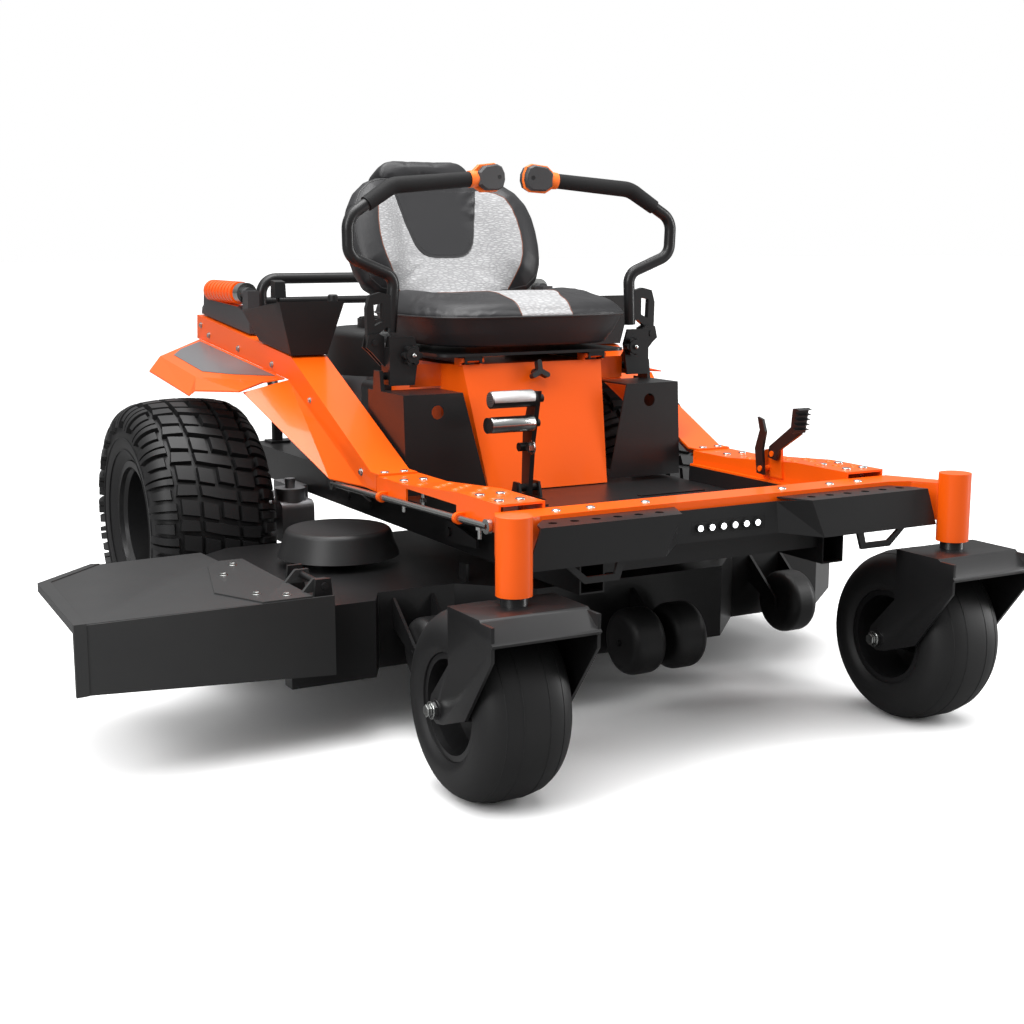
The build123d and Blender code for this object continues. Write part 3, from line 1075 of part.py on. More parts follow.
def engine_shroud():
    """Blower housing over the engine: a drum with a domed screen, hollow below."""
    z = PLATE_Z + PLATE_THICK + GAP + 192
    drum = extrude(Pos(0, ENGINE_Y - 20, z) * Circle(178), amount=110, taper=6)
    drum = fillet(drum.edges().sort_by(Axis.Z)[-1], 22)
    hollow = extrude(Pos(0, ENGINE_Y - 20, z - 1) * Circle(172), amount=103, taper=6)
    return drum - hollow + rod((0, ENGINE_Y - 20, z + 100), (0, ENGINE_Y - 20, z + 132), 92)


def muffler():
    """Exhaust can behind the engine."""
    z = PLATE_Z + PLATE_THICK + 90
    can = rod((-150, ENGINE_Y + 190, z), (150, ENGINE_Y + 190, z), 58)
    can = fillet(can.edges().filter_by(GeomType.CIRCLE), 14)
    tail = rod((150, ENGINE_Y + 190, z - 20), (186, ENGINE_Y + 190, z - 20), 16)
    foot = block((-60, ENGINE_Y + 170, PLATE_Z + PLATE_THICK + GAP), (60, ENGINE_Y + 210, z - 40))
    return can + tail + foot


def engine_guard():
    """Tubular hoop behind the engine with a second cross bar."""
    x = 236.0
    foot_y = 1600.0
    z0 = PLATE_Z + PLATE_THICK + GAP
    points = [(-x, foot_y, z0), (-x, foot_y, 520), (-x, GUARD_Y, 640), (-x, GUARD_Y, GUARD_TOP_Z)]
    points += [(x, GUARD_Y, GUARD_TOP_Z), (x, GUARD_Y, 640), (x, foot_y, 520), (x, foot_y, z0)]
    hoop = bent_tube(points, [60, 60, 40, 40, 60, 60], GUARD_TUBE_R)
    hoop += rod((-x, GUARD_Y, 760), (x, GUARD_Y, 760), 10)
    for sign in (-1, 1):
        hoop += block((sign * x - 26, foot_y - 26, z0), (sign * x + 26, foot_y + 26, z0 + 6))
    return hoop


def fuel_tank():
    """Moulded tank behind the seat box, with its filler neck and cap."""
    tank = block((-215, 1000, RAIL_TOP_Z + 12), (215, 1112, 600))
    tank = fillet(tank.edges(), 16)
    cap = rod((150, 1056, 596), (150, 1056, 632), 34)
    return tank + cap


# ---------------------------------------------------------------- the assembly
def build_nodes():
    """Every node of the mower, by name, in the machine frame."""
    stand = pedal_stand()
    pins = brake_pins()
    box = seat_box()
    for hinge in seat_hinges():
        box = box + hinge
    floor = floor_pan()
    rail_right = side_rail()
    for ring in rod_guides():
        rail_right = rail_right + ring
    rod_axis = ((-ROD_X, *ROD_FRONT), (-ROD_X, *ROD_REAR))
    rail_right = rail_right - rod(*rod_axis, ROD_R + RUNNING_FIT)
    rail_left = mirrored(side_rail())
    for pin in pins:
        rail_left = rail_left + pin
    nodes = {
        "frame_rails": frame_rails(),
        "front_crossmember": front_crossmember(),
        "bumper_skin": bumper_skin(),
        "light_bar": light_bar(),
        "tow_hooks": both(tow_hook()),
        "floor_pan": group([floor, stand]),
        "side_rail_right": rail_right,
        "side_rail_left": rail_left,
        "seat_box": box,
        "side_panels": both(side_panel()),
        "latch_knob": latch_knob(),
        "frame_bolts": frame_bolts(),
        "arm_right": arm(),
        "arm_left": mirrored(arm()),
        "fenders": both(fender()),
        "consoles": consoles(),
        "pto_knob": pto_knob(),
        "throttle_lever": throttle_lever(),
        "isolator_mount": both(isolator_mount()),
        "fuel_tank": fuel_tank(),
        "engine_block": engine_block(),
        "engine_shroud": engine_shroud(),
        "muffler": muffler(),
        "engine_guard": engine_guard(),
        "transaxles": both(transaxle()),
        "seat_base": seat_base(),
        "seat_cushion": seat_cushion(),
        "seat_backrest": seat_backrest(),
        "headrest": headrest(),
        "deck_shell": deck_shell(),
        "belt_covers": belt_covers(),
        "nose_rollers": group(nose_rollers()),
        "gauge_wheel_right": gauge_wheel(-1),
        "gauge_wheel_left": gauge_wheel(1),
        "discharge_chute": discharge_chute(),
        "lift_pedal": lift_pedal(),
        "front_lift_shaft": lift_shaft(FRONT_CRANK_Y),
        "rear_lift_shaft": lift_shaft(REAR_CRANK_Y),
        "lift_rod": lift_rod(),
        "brake_pedal": brake_pedal(),
        "brake_release": brake_release(),
    }
    for name in SPINDLES:
        nodes["blade_" + name] = blade(name)
    pairs = {"caster_fork": caster_fork(), "caster_rim": caster_rim(), "caster_tyre": caster_tyre(),
             "rear_rim": rear_rim(), "rear_tyre": rear_tyre(), "control_bracket": control_bracket(),
             "lever_tube": lever_tube(), "lever_grip": lever_grip()}
    for name, shape in pairs.items():
        nodes[name + "_right"] = shape
        nodes[name + "_left"] = mirrored(shape)
    return nodes


def stored_shift(nodes):
    """Move from the machine frame to the stored one: the middle of the footprint, on the ground."""
    boxes = [shape.bounding_box() for shape in nodes.values()]
    middle_x = (min(b.min.X for b in boxes) + max(b.max.X for b in boxes)) / 2
    middle_y = (min(b.min.Y for b in boxes) + max(b.max.Y for b in boxes)) / 2
    return (-middle_x, -middle_y, 0.0)


NODES = build_nodes()
SHIFT = stored_shift(NODES)

if __name__ == "__main__":
    os.makedirs("parts", exist_ok=True)
    for node, shape in NODES.items():
        export_step(Pos(*SHIFT) * shape, "parts/" + node + ".step")
    print("nodes", len(NODES), "shift", [round(v, 2) for v in SHIFT])
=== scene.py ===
import json
import math

import bmesh
import bpy
import numpy as np
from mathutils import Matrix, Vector
from mathutils.bvhtree import BVHTree


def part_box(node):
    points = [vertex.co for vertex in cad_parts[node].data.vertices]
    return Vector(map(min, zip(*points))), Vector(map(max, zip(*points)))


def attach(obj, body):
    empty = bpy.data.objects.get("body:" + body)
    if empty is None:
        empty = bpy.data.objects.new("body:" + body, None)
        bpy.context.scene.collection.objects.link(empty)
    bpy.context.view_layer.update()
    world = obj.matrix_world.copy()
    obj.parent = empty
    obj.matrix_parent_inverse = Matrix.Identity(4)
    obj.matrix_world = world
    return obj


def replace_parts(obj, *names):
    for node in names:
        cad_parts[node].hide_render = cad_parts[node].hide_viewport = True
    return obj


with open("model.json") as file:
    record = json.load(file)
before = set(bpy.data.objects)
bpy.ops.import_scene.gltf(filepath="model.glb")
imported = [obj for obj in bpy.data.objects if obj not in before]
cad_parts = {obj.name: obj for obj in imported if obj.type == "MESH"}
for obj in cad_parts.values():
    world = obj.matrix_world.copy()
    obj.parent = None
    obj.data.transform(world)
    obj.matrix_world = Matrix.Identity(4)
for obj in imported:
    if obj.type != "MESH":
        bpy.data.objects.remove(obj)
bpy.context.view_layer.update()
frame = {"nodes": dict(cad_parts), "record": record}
NODES = frame["nodes"]


# ---------------------------------------------------------------- places
def middle(node):
    low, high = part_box(node)
    return (low + high) / 2


CENTRE_X = middle("front_crossmember").x
AXLE_Y = middle("caster_tyre_right").y


def at(x, y, z):
    """A point given in mm from the centreplane, the caster axle and the ground, as a point of the frame."""
    return Vector((CENTRE_X + x / 1000, AXLE_Y + y / 1000, z / 1000))


# ---------------------------------------------------------------- shader groups
def new_group(name, inputs, outputs):
    tree = bpy.data.node_groups.new(name, "ShaderNodeTree")
    for label, kind, value in inputs:
        socket = tree.interface.new_socket(label, in_out="INPUT", socket_type=kind)
        if value is not None:
            socket.default_value = value
    for label, kind in outputs:
        tree.interface.new_socket(label, in_out="OUTPUT", socket_type=kind)
    return tree, tree.nodes.new("NodeGroupInput"), tree.nodes.new("NodeGroupOutput")


def link(tree, source, target):
    tree.links.new(source, target)


def object_coordinates(tree):
    return tree.nodes.new("ShaderNodeTexCoord").outputs["Object"]


def wire(tree, node, inputs):
    """Links a socket to each of these inputs of the node, or gives it a value."""
    for label, value in inputs.items():
        if isinstance(value, bpy.types.NodeSocket):
            link(tree, value, node.inputs[label])
        else:
            node.inputs[label].default_value = value
    return node


def added(tree, kind, inputs, **settings):
    """A new node with its settings and its inputs."""
    node = tree.nodes.new(kind)
    for label, value in settings.items():
        setattr(node, label, value)
    return wire(tree, node, inputs)


def maths(tree, operation, *values):
    """Result of a Math node over sockets and numbers."""
    return added(tree, "ShaderNodeMath", dict(enumerate(values)), operation=operation).outputs[0]


def mixed(tree, factor, first, second):
    """Colour from first to second by factor; each is a socket or (r, g, b)."""
    first, second = (c if isinstance(c, bpy.types.NodeSocket) else (*c, 1) for c in (first, second))
    return added(tree, "ShaderNodeMix", {"Factor": factor, 6: first, 7: second}, data_type="RGBA").outputs[2]


def noise(tree, detail, scale):
    """Noise over the object's own coordinates."""
    inputs = {"Detail": detail, "Vector": object_coordinates(tree), "Scale": scale}
    return added(tree, "ShaderNodeTexNoise", inputs).outputs["Fac"]


def grain_group():
    """Fine even grain of a coating or moulding: a height for a Bump node and a small change of roughness."""
    tree, inside, out = new_group(
        "grain",
        [("Scale", "NodeSocketFloat", 900.0), ("Roughness", "NodeSocketFloat", 0.4),
         ("Spread", "NodeSocketFloat", 0.05)],
        [("Height", "NodeSocketFloat"), ("Roughness", "NodeSocketFloat")])
    uneven = maths(tree, "SUBTRACT", noise(tree, 4.0, 9.0), 0.5)
    rough = maths(tree, "MULTIPLY_ADD", uneven, inside.outputs["Spread"], inside.outputs["Roughness"])
    wire(tree, out, {"Height": noise(tree, 3.0, inside.outputs["Scale"]), "Roughness": rough})
    return tree


def dust_group():
    """A thin film of dust: the colour with a little of it lightened in soft patches."""
    tree, inside, out = new_group(
        "dust",
        [("Color", "NodeSocketColor", (0.5, 0.5, 0.5, 1)), ("Dust", "NodeSocketColor", (0.3, 0.28, 0.26, 1)),
         ("Amount", "NodeSocketFloat", 0.05)],
        [("Color", "NodeSocketColor")])
    amount = maths(tree, "MULTIPLY", noise(tree, 5.0, 14.0), inside.outputs["Amount"])
    link(tree, mixed(tree, amount, inside.outputs["Color"], inside.outputs["Dust"]), out.inputs["Color"])
    return tree


GRAIN = grain_group()
DUST = dust_group()


def shader_of(finish):
    return finish.node_tree.nodes["Principled BSDF"]


def material(name, colour, rough=0.4, metal=0.0, coat=0.0, coat_rough=0.1, scale=900.0, bump=0.05, spread=0.08,
             dust=0.04, distance=0.0004, specular=0.5):
    """A finish: its colour under a thin film of dust, with grain in the roughness and the surface."""
    made = bpy.data.materials.new(name)
    made.use_nodes = True
    tree = made.node_tree
    grain = added(tree, "ShaderNodeGroup", {"Scale": scale, "Roughness": rough, "Spread": spread}, node_tree=GRAIN)
    film = added(tree, "ShaderNodeGroup", {"Color": (*colour, 1), "Amount": dust}, node_tree=DUST)
    bumps = added(tree, "ShaderNodeBump", {"Strength": bump, "Distance": distance, "Height": grain.outputs["Height"]})
    wire(tree, shader_of(made), {
        "Metallic": metal, "Coat Weight": coat, "Coat Roughness": coat_rough, "Specular IOR Level": specular,
        "Normal": bumps.outputs["Normal"], "Roughness": grain.outputs["Roughness"],
        "Base Color": film.outputs["Color"]})
    return made


ORANGE = (0.88, 0.105, 0.0025)
BLACK = (0.008, 0.008, 0.0085)
METAL = (0.42, 0.42, 0.43)
VINYL = (0.013, 0.013, 0.0145)
orange_paint = material("orange_paint", ORANGE, rough=0.34, coat=0.25, coat_rough=0.06, scale=260, bump=0.03,
                        dust=0.0, specular=0.25)
black_paint = material("black_paint", (0.007, 0.007, 0.0075), rough=0.36, coat=0.1, scale=700, bump=0.10,
                       dust=0.01, specular=0.35)
black_plastic = material("black_plastic", (0.009, 0.009, 0.0095), rough=0.45, scale=1500, bump=0.25,
                         dust=0.015, specular=0.35)
chute_plastic = material("chute_plastic", (0.02, 0.0205, 0.021), rough=0.5, scale=1100, bump=0.35, dust=0.02,
                         specular=0.45)
grip_foam = material("grip_foam", BLACK, rough=0.7, scale=1600, bump=0.5, dust=0.01, specular=0.25)
tyre_rubber = material("tyre_rubber", BLACK, rough=0.5, scale=500, bump=0.15, dust=0.01, specular=0.35)
VINYL_LOOK = {"rough": 0.46, "scale": 1100, "bump": 0.25, "distance": 0.0003, "dust": 0.01, "specular": 0.4}
seat_vinyl = material("seat_vinyl", VINYL, **VINYL_LOOK)
zinc = material("zinc", (0.50, 0.51, 0.50), rough=0.24, metal=1.0, scale=400, bump=0.05)
steel = material("steel", METAL, rough=0.4, metal=1.0, scale=300, bump=0.1)
cast_metal = material("cast_metal", METAL, rough=0.5, metal=1.0, scale=350, bump=0.4)
lamp_clear = material("lamp_clear", (0.8, 0.82, 0.85), rough=0.12, coat=0.6)

FINISHES = {
    "orange_paint": orange_paint, "black_paint": black_paint, "light_lens": lamp_clear,
    "black_plastic": black_plastic,
    "chute_rubber": chute_plastic, "grip_foam": grip_foam, "seat_vinyl": seat_vinyl, "tyre_rubber": tyre_rubber,
    "zinc_steel": zinc, "blade_steel": steel, "cast_aluminium": cast_metal, "spring_paint": orange_paint,
}
for part in frame["record"]["subparts"]:
    node = NODES[part["node"]]
    node.data.materials.clear()
    node.data.materials.append(FINISHES[part["material_slot"]])


# ---------------------------------------------------------------- finishes with a pattern
def along(tree, origin, direction):
    """Distance in metres of the surface point from origin along direction."""
    offset = added(tree, "ShaderNodeVectorMath", {0: object_coordinates(tree), 1: origin}, operation="SUBTRACT")
    inputs = {0: offset.outputs["Vector"], 1: direction}
    return added(tree, "ShaderNodeVectorMath", inputs, operation="DOT_PRODUCT").outputs["Value"]


def curve_width(tree, value, points):
    """Half width in metres read from (height, half width) points in mm, at a height in metres."""
    top = max(p[0] for p in points)
    wide = max(p[1] for p in points)
    node = tree.nodes.new("ShaderNodeFloatCurve")
    curve = node.mapping.curves[0]
    while len(curve.points) < len(points):
        curve.points.new(0.5, 0.5)
    for point, (height, width) in zip(curve.points, points):
        point.location = (height / top, width / wide)
        point.handle_type = "VECTOR"
    node.mapping.update()
    link(tree, maths(tree, "MULTIPLY", value, 1000 / top), node.inputs["Value"])
    return maths(tree, "MULTIPLY", node.outputs[0], wide / 1000)


FABRIC = (0.43, 0.43, 0.435)


def seat_cover(name, panels):
    """Seat cover: black vinyl grain, and light grey embossed cloth where the mask from panels is 1, its colour
    painted darker in the grooves of the emboss as painted shade.
    """
    made = material(name, VINYL, **VINYL_LOOK)
    tree = made.node_tree
    shader = shader_of(made)
    mask = panels(tree)
    vinyl, rough, normal = (shader.inputs[n].links[0].from_socket for n in ("Base Color", "Roughness", "Normal"))
    stretch = added(tree, "ShaderNodeMapping", {"Scale": (1.0, 1.0, 3.2), "Vector": object_coordinates(tree)})
    cells = added(tree, "ShaderNodeTexVoronoi", {"Vector": stretch.outputs["Vector"]}, feature="DISTANCE_TO_EDGE")
    cells.inputs["Scale"].default_value = 72.0
    pebble = maths(tree, "MINIMUM", maths(tree, "MULTIPLY", cells.outputs["Distance"], 3.0), 1.0)
    # Painted shade: the cloth colour goes darkest in the grooves between the embossed pebbles and lightest on their
    # tops, following the bump height.
    cloth_with_painted_groove_shade = mixed(tree, pebble, (0.29, 0.29, 0.295), FABRIC)
    bumps = normal.node
    fine = bumps.inputs["Height"].links[0].from_socket
    height = maths(tree, "MULTIPLY_ADD", maths(tree, "MULTIPLY", pebble, mask), 9.0, fine)
    wire(tree, bumps, {"Height": height})
    wire(tree, shader, {"Base Color": mixed(tree, mask, vinyl, cloth_with_painted_groove_shade),
                        "Roughness": maths(tree, "MULTIPLY_ADD", mask, 0.3, rough)})
    return made


# ---------------------------------------------------------------- mesh makers
def shown(obj, finish, body):
    """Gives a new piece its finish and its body."""
    if finish is not None:
        obj.data.materials.clear()
        obj.data.materials.append(finish)
    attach(obj, body)
    return obj


def in_scene(name, mesh):
    obj = bpy.data.objects.new(name, mesh)
    bpy.context.scene.collection.objects.link(obj)
    return obj


def smooth_shaded(mesh, sharp_deg=None):
    """Smooth faces, with the edges that fold by more than sharp_deg kept sharp."""
    for face in mesh.polygons:
        face.use_smooth = True
    if sharp_deg is not None:
        mesh.set_sharp_from_angle(angle=math.radians(sharp_deg))


def mesh_object(name, points, faces, sharp_deg=38):
    mesh = bpy.data.meshes.new(name)
    mesh.from_pydata([tuple(p) for p in points], [], faces)
    made = bmesh.new()
    made.from_mesh(mesh)
    bmesh.ops.remove_doubles(made, verts=made.verts, dist=1e-6)
    bmesh.ops.recalc_face_normals(made, faces=made.faces)
    made.to_mesh(mesh)
    made.free()
    smooth_shaded(mesh, sharp_deg)
    return in_scene(name, mesh)


def lofted(name, rings, closed=False, sharp_deg=38):
    """A skin over rings of equally many points; its two ends are filled unless it closes on itself."""
    layers, steps = len(rings), len(rings[0])
    faces = []
    for i in range(layers if closed else layers - 1):
        for j in range(steps):
            k, m = (i + 1) % layers, (j + 1) % steps
            faces.append((i * steps + j, i * steps + m, k * steps + m, k * steps + j))
    if not closed:
        faces.append(tuple(reversed(range(steps))))
        faces.append(tuple(range((layers - 1) * steps, layers * steps)))
    return mesh_object(name, [p for ring in rings for p in ring], faces, sharp_deg)


def spun(name, profile, centre, axis="X", steps=96):
    """A closed profile of (along, radius) in mm, spun about an axis through centre."""
    rings = []
    for i in range(steps):
        turn = 2 * math.pi * i / steps
        ring = []
        for a, r in profile:
            c, s = r * math.cos(turn), r * math.sin(turn)
            offset = (a, c, s) if axis == "X" else (c, s, a)
            ring.append(centre + Vector(offset) / 1000)
        rings.append(ring)
    return lofted(name, rings, closed=True)


def tube(name, path, radius, sides=14, closed=False, taper=1.0):
    """A round bar along a path of points, radius in metres; taper is the share of it left at the ends."""
    count = len(path)
    rings = []
    normal = None
    for i, p in enumerate(path):
        before = path[i - 1] if (i or closed) else p
        after = path[(i + 1) % count] if (i < count - 1 or closed) else p
        along_path = (after - before).normalized()
        if normal is None:
            normal = along_path.orthogonal().normalized()
        normal = (normal - along_path * normal.dot(along_path)).normalized()
        side = along_path.cross(normal)
        size = radius * (taper if not closed and i in (0, count - 1) else 1.0)
        ring = []
        for j in range(sides):
            angle = 2 * math.pi * j / sides
            ring.append(p + (normal * math.cos(angle) + side * math.sin(angle)) * size)
        rings.append(ring)
    return lofted(name, rings, closed)


def rounded_path(corners, radii, steps=9):
    """Corners joined by straight runs with an arc at each inner corner; radii in metres."""
    path = [corners[0]]
    for i in range(1, len(corners) - 1):
        back = (corners[i - 1] - corners[i]).normalized()
        ahead = (corners[i + 1] - corners[i]).normalized()
        half = back.angle(ahead) / 2
        run = radii[i - 1] / math.tan(half)
        centre = corners[i] + (back + ahead).normalized() * (radii[i - 1] / math.sin(half))
        start = (corners[i] + back * run - centre).normalized()
        end = (corners[i] + ahead * run - centre).normalized()
        for k in range(steps + 1):
            path.append(centre + start.slerp(end, k / steps) * radii[i - 1])
    path.append(corners[-1])
    return path


def plate(name, outline, thick, place, across, up, bevel=0.0):
    """A flat plate: outline of (a, b) in mm on the plane of across and up, thick along their cross."""
    normal = across.cross(up)
    middle_a = sum(a for a, b in outline) / len(outline)
    middle_b = sum(b for a, b in outline) / len(outline)
    reach = max(math.hypot(a - middle_a, b - middle_b) for a, b in outline)
    levels = [(0, 0), (0, thick)]
    if bevel:
        levels = [(bevel, 0), (0, bevel), (0, thick - bevel), (bevel, thick)]
    rings = []
    for inset, level in levels:
        share = 1 - inset / reach
        ring = []
        for a, b in outline:
            flat = across * (middle_a + (a - middle_a) * share) + up * (middle_b + (b - middle_b) * share)
            ring.append(place + (flat + normal * level) / 1000)
        rings.append(ring)
    return lofted(name, rings, sharp_deg=25)


# ---------------------------------------------------------------- geometry node trees
def node_tree(name, inputs):
    tree = bpy.data.node_groups.new(name, "GeometryNodeTree")
    tree.interface.new_socket("Geometry", in_out="INPUT", socket_type="NodeSocketGeometry")
    for label, kind in inputs:
        tree.interface.new_socket(label, in_out="INPUT", socket_type=kind)
    tree.interface.new_socket("Geometry", in_out="OUTPUT", socket_type="NodeSocketGeometry")
    return tree, tree.nodes.new("NodeGroupInput"), tree.nodes.new("NodeGroupOutput")


def copies_on(tree, points, shape, rotation, finish, out):
    """Copies of a shape on points, each turned, made real and given the finish."""
    copies = added(tree, "GeometryNodeInstanceOnPoints", {"Points": points, "Instance": shape, "Rotation": rotation})
    real = added(tree, "GeometryNodeRealizeInstances", {0: copies.outputs[0]})
    painted = added(tree, "GeometryNodeSetMaterial", {"Geometry": real.outputs[0], "Material": finish})
    wire(tree, out, {0: painted.outputs[0]})


def shape_of(tree, inside):
    """Geometry of the object given as the tree's Shape."""
    return added(tree, "GeometryNodeObjectInfo", {"Object": inside.outputs["Shape"]}).outputs["Geometry"]


def turned_to(tree, axis, way):
    """The turn that lays an axis along a direction."""
    return added(tree, "FunctionNodeAlignRotationToVector", {"Vector": way}, axis=axis).outputs[0]


def ring_tree():
    """Copies the geometry, which is made about the frame's origin, round Axis and moves it to Centre."""
    tree, inside, out = node_tree("ring_of_pieces", [
        ("Count", "NodeSocketInt"), ("Centre", "NodeSocketVector"), ("Axis", "NodeSocketVector"),
        ("Finish", "NodeSocketMaterial")])
    given = inside.outputs
    points = added(tree, "GeometryNodePoints", {"Count": given["Count"], "Position": given["Centre"]})
    index = added(tree, "GeometryNodeInputIndex", {})
    turn = maths(tree, "MULTIPLY", index.outputs[0], maths(tree, "DIVIDE", 2 * math.pi, given["Count"]))
    rotation = added(tree, "FunctionNodeAxisAngleToRotation", {"Axis": given["Axis"], "Angle": turn})
    copies_on(tree, points.outputs[0], given["Geometry"], rotation.outputs[0], given["Finish"], out)
    return tree


def scatter_tree():
    """Stands one copy of Shape on each vertex of the geometry, its Z axis along the vertex's facing."""
    tree, inside, out = node_tree("piece_on_each_spot", [
        ("Shape", "NodeSocketObject"), ("Finish", "NodeSocketMaterial")])
    facing = added(tree, "GeometryNodeInputNamedAttribute", {"Name": "facing"}, data_type="FLOAT_VECTOR")
    turn = turned_to(tree, "Z", facing.outputs["Attribute"])
    copies_on(tree, inside.outputs["Geometry"], shape_of(tree, inside), turn, inside.outputs["Finish"], out)
    return tree


def stitch_tree():
    """Lays copies of Shape, its X axis along the path, Pitch apart on the geometry's edges."""
    tree, inside, out = node_tree("stitches_on_path", [
        ("Shape", "NodeSocketObject"), ("Pitch", "NodeSocketFloat"), ("Finish", "NodeSocketMaterial")])
    path = added(tree, "GeometryNodeMeshToCurve", {"Mesh": inside.outputs["Geometry"]})
    spaced = added(tree, "GeometryNodeResampleCurve",
                   {"Curve": path.outputs[0], "Length": inside.outputs["Pitch"]}, mode="LENGTH")
    turn = turned_to(tree, "X", added(tree, "GeometryNodeInputTangent", {}).outputs[0])
    copies_on(tree, spaced.outputs[0], shape_of(tree, inside), turn, inside.outputs["Finish"], out)
    return tree


RING, SCATTER, STITCHES = ring_tree(), scatter_tree(), stitch_tree()


def grown(name, base, tree, **values):
    """Runs a tree on base and keeps the result as a plain mesh piece."""
    modifier = base.modifiers.new("grow", "NODES")
    modifier.node_group = tree
    for item in tree.interface.items_tree:
        if item.in_out == "INPUT" and item.name in values:
            modifier[item.identifier] = values[item.name]
    bpy.context.view_layer.update()
    evaluated = base.evaluated_get(bpy.context.evaluated_depsgraph_get())
    mesh = bpy.data.meshes.new_from_object(evaluated)
    mesh.name = name
    bpy.data.objects.remove(base)
    return in_scene(name, mesh)


def spots(name, places):
    """A mesh of loose vertices with the direction each one faces."""
    mesh = bpy.data.meshes.new(name)
    mesh.from_pydata([tuple(p) for p, way in places], [], [])
    facing = mesh.attributes.new("facing", "FLOAT_VECTOR", "POINT")
    facing.data.foreach_set("vector", [c for p, way in places for c in way])
    return in_scene(name, mesh)


def copied(node, name, body):
    """A plain mesh copy of a carried-over piece, its doubled points merged, standing in for it."""
    mesh = NODES[node].data.copy()
    made = bmesh.new()
    made.from_mesh(mesh)
    bmesh.ops.transform(made, matrix=NODES[node].matrix_world, verts=made.verts)
    bmesh.ops.remove_doubles(made, verts=made.verts, dist=1e-5)
    bmesh.ops.dissolve_limit(made, angle_limit=math.radians(0.5), verts=made.verts, edges=made.edges)
    made.to_mesh(mesh)
    made.free()
    mesh.name = name
    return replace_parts(shown(in_scene(name, mesh), None, body), node)


def painted_by(obj, finishes, choose):
    """Gives every face the finish whose number choose(face centre) returns."""
    obj.data.materials.clear()
    for finish in finishes:
        obj.data.materials.append(finish)
    for face in obj.data.polygons:
        face.material_index = choose(face.center)


def softened(node, finish, body, width, limit=35):
    """A copy of a folded or moulded piece with rounded edges; width in mm."""
    obj = copied(node, node + "_soft", body)
    painted_by(obj, [finish], lambda spot: 0)
    modifier = obj.modifiers.new("edges", "BEVEL")
    modifier.width = width / 1000
    modifier.segments = 2
    modifier.limit_method = "ANGLE"
    modifier.angle_limit = math.radians(limit)
    kept_result(obj)
    smooth_shaded(obj.data, 25)
    return obj


def master(obj):
    """Keeps a shape that trees copy out of the scene's shown pieces."""
    obj.hide_render = True
    return obj


ORIGIN = Vector((0, 0, 0))


AHEAD_X, AHEAD_Y = Vector((1, 0, 0)), Vector((0, 1, 0))


def polygon(radius, sides):
    """Corners of a regular polygon about the origin."""
    turns = [math.radians(360 / sides * i) for i in range(sides)]
    return [(radius * math.cos(turn), radius * math.sin(turn)) for turn in turns]


def hex_head(across, tall, washer):
    """Hex bolt head with a round flange under it, standing on the origin; sizes in mm."""
    base = plate("flange", polygon(washer, 20), tall * 0.25, ORIGIN, AHEAD_X, AHEAD_Y, 0.4)
    top = plate("hex", polygon(across / math.sqrt(3), 6), tall, ORIGIN, AHEAD_X, AHEAD_Y, 0.9)
    return joined("hex_head", [base, top])


def joined(name, objects):
    """One piece from several meshes."""
    made = bmesh.new()
    for obj in objects:
        made.from_mesh(obj.data)
    mesh = objects[0].data
    made.to_mesh(mesh)
    made.free()
    for obj in objects[1:]:
        bpy.data.objects.remove(obj)
    objects[0].name = name
    return objects[0]


def dome_head(radius, tall):
    """Round carriage bolt head, sizes in mm."""
    profile = [(0, 0.01), (0, radius)]
    profile += [(tall * math.sin(math.radians(a)), radius * math.cos(math.radians(a))) for a in (20, 40, 60, 80)]
    profile += [(tall, 0.01)]
    return spun("dome", profile, ORIGIN, "Z", 20)


# ---------------------------------------------------------------- tyres
TREAD_DEPTH = 13.0
LUG_PITCHES = 22
CROWN_HALF, CROWN_DROP, SHOULDER_R = 94.0, 8.0, 44.0
TYRE_STEPS = 112


def tread_surface(u, height, radius):
    """(x, r) in mm at arc length u from the tyre's middle and height above the carcass."""
    side = 1 if u >= 0 else -1
    u = abs(u)
    base = radius - TREAD_DEPTH
    if u <= CROWN_HALF:
        x, r = u, base - CROWN_DROP * (u / CROWN_HALF) ** 2
        lean = math.atan(2 * CROWN_DROP * u / CROWN_HALF ** 2)
    else:
        first = math.atan(2 * CROWN_DROP / CROWN_HALF)
        lean = first + (u - CROWN_HALF) / SHOULDER_R
        x = CROWN_HALF + SHOULDER_R * (math.sin(lean) - math.sin(first))
        r = base - CROWN_DROP + SHOULDER_R * (math.cos(lean) - math.cos(first))
    return side * (x + height * math.sin(lean)), r + height * math.cos(lean)


def lug(corners, height, radius, cells):
    """Points and faces of one tread block over a patch of the tread given by its four (u, v) corners."""
    nu, nv = cells
    points, faces = [], []

    def grid(inset, level):
        start = len(points)
        for i in range(nu + 1):
            for j in range(nv + 1):
                a = inset + (1 - 2 * inset) * i / nu
                b = inset + (1 - 2 * inset) * j / nv
                weights = ((1 - a) * (1 - b), a * (1 - b), a * b, (1 - a) * b)
                u = sum(w * c[0] for w, c in zip(weights, corners))
                v = sum(w * c[1] for w, c in zip(weights, corners))
                x, r = tread_surface(u, level, radius)
                turn = v / radius
                points.append(Vector((x, r * math.sin(turn), r * math.cos(turn))) / 1000)
        return start

    top = grid(0.06, height)
    low = grid(0.0, -2.0)
    row = nv + 1
    for i in range(nu):
        for j in range(nv):
            k = i * row + j
            faces.append((top + k, top + k + row, top + k + row + 1, top + k + 1))
            faces.append((low + k, low + k + 1, low + k + row + 1, low + k + row))
    rim = [i * row for i in range(nu + 1)] + [nu * row + j for j in range(1, nv + 1)]
    rim += [i * row + nv for i in range(nu - 1, -1, -1)] + [j for j in range(nv - 1, 0, -1)]
    for k, m in zip(rim, rim[1:] + rim[:1]):
        faces.append((low + k, low + m, top + m, top + k))
    return points, faces


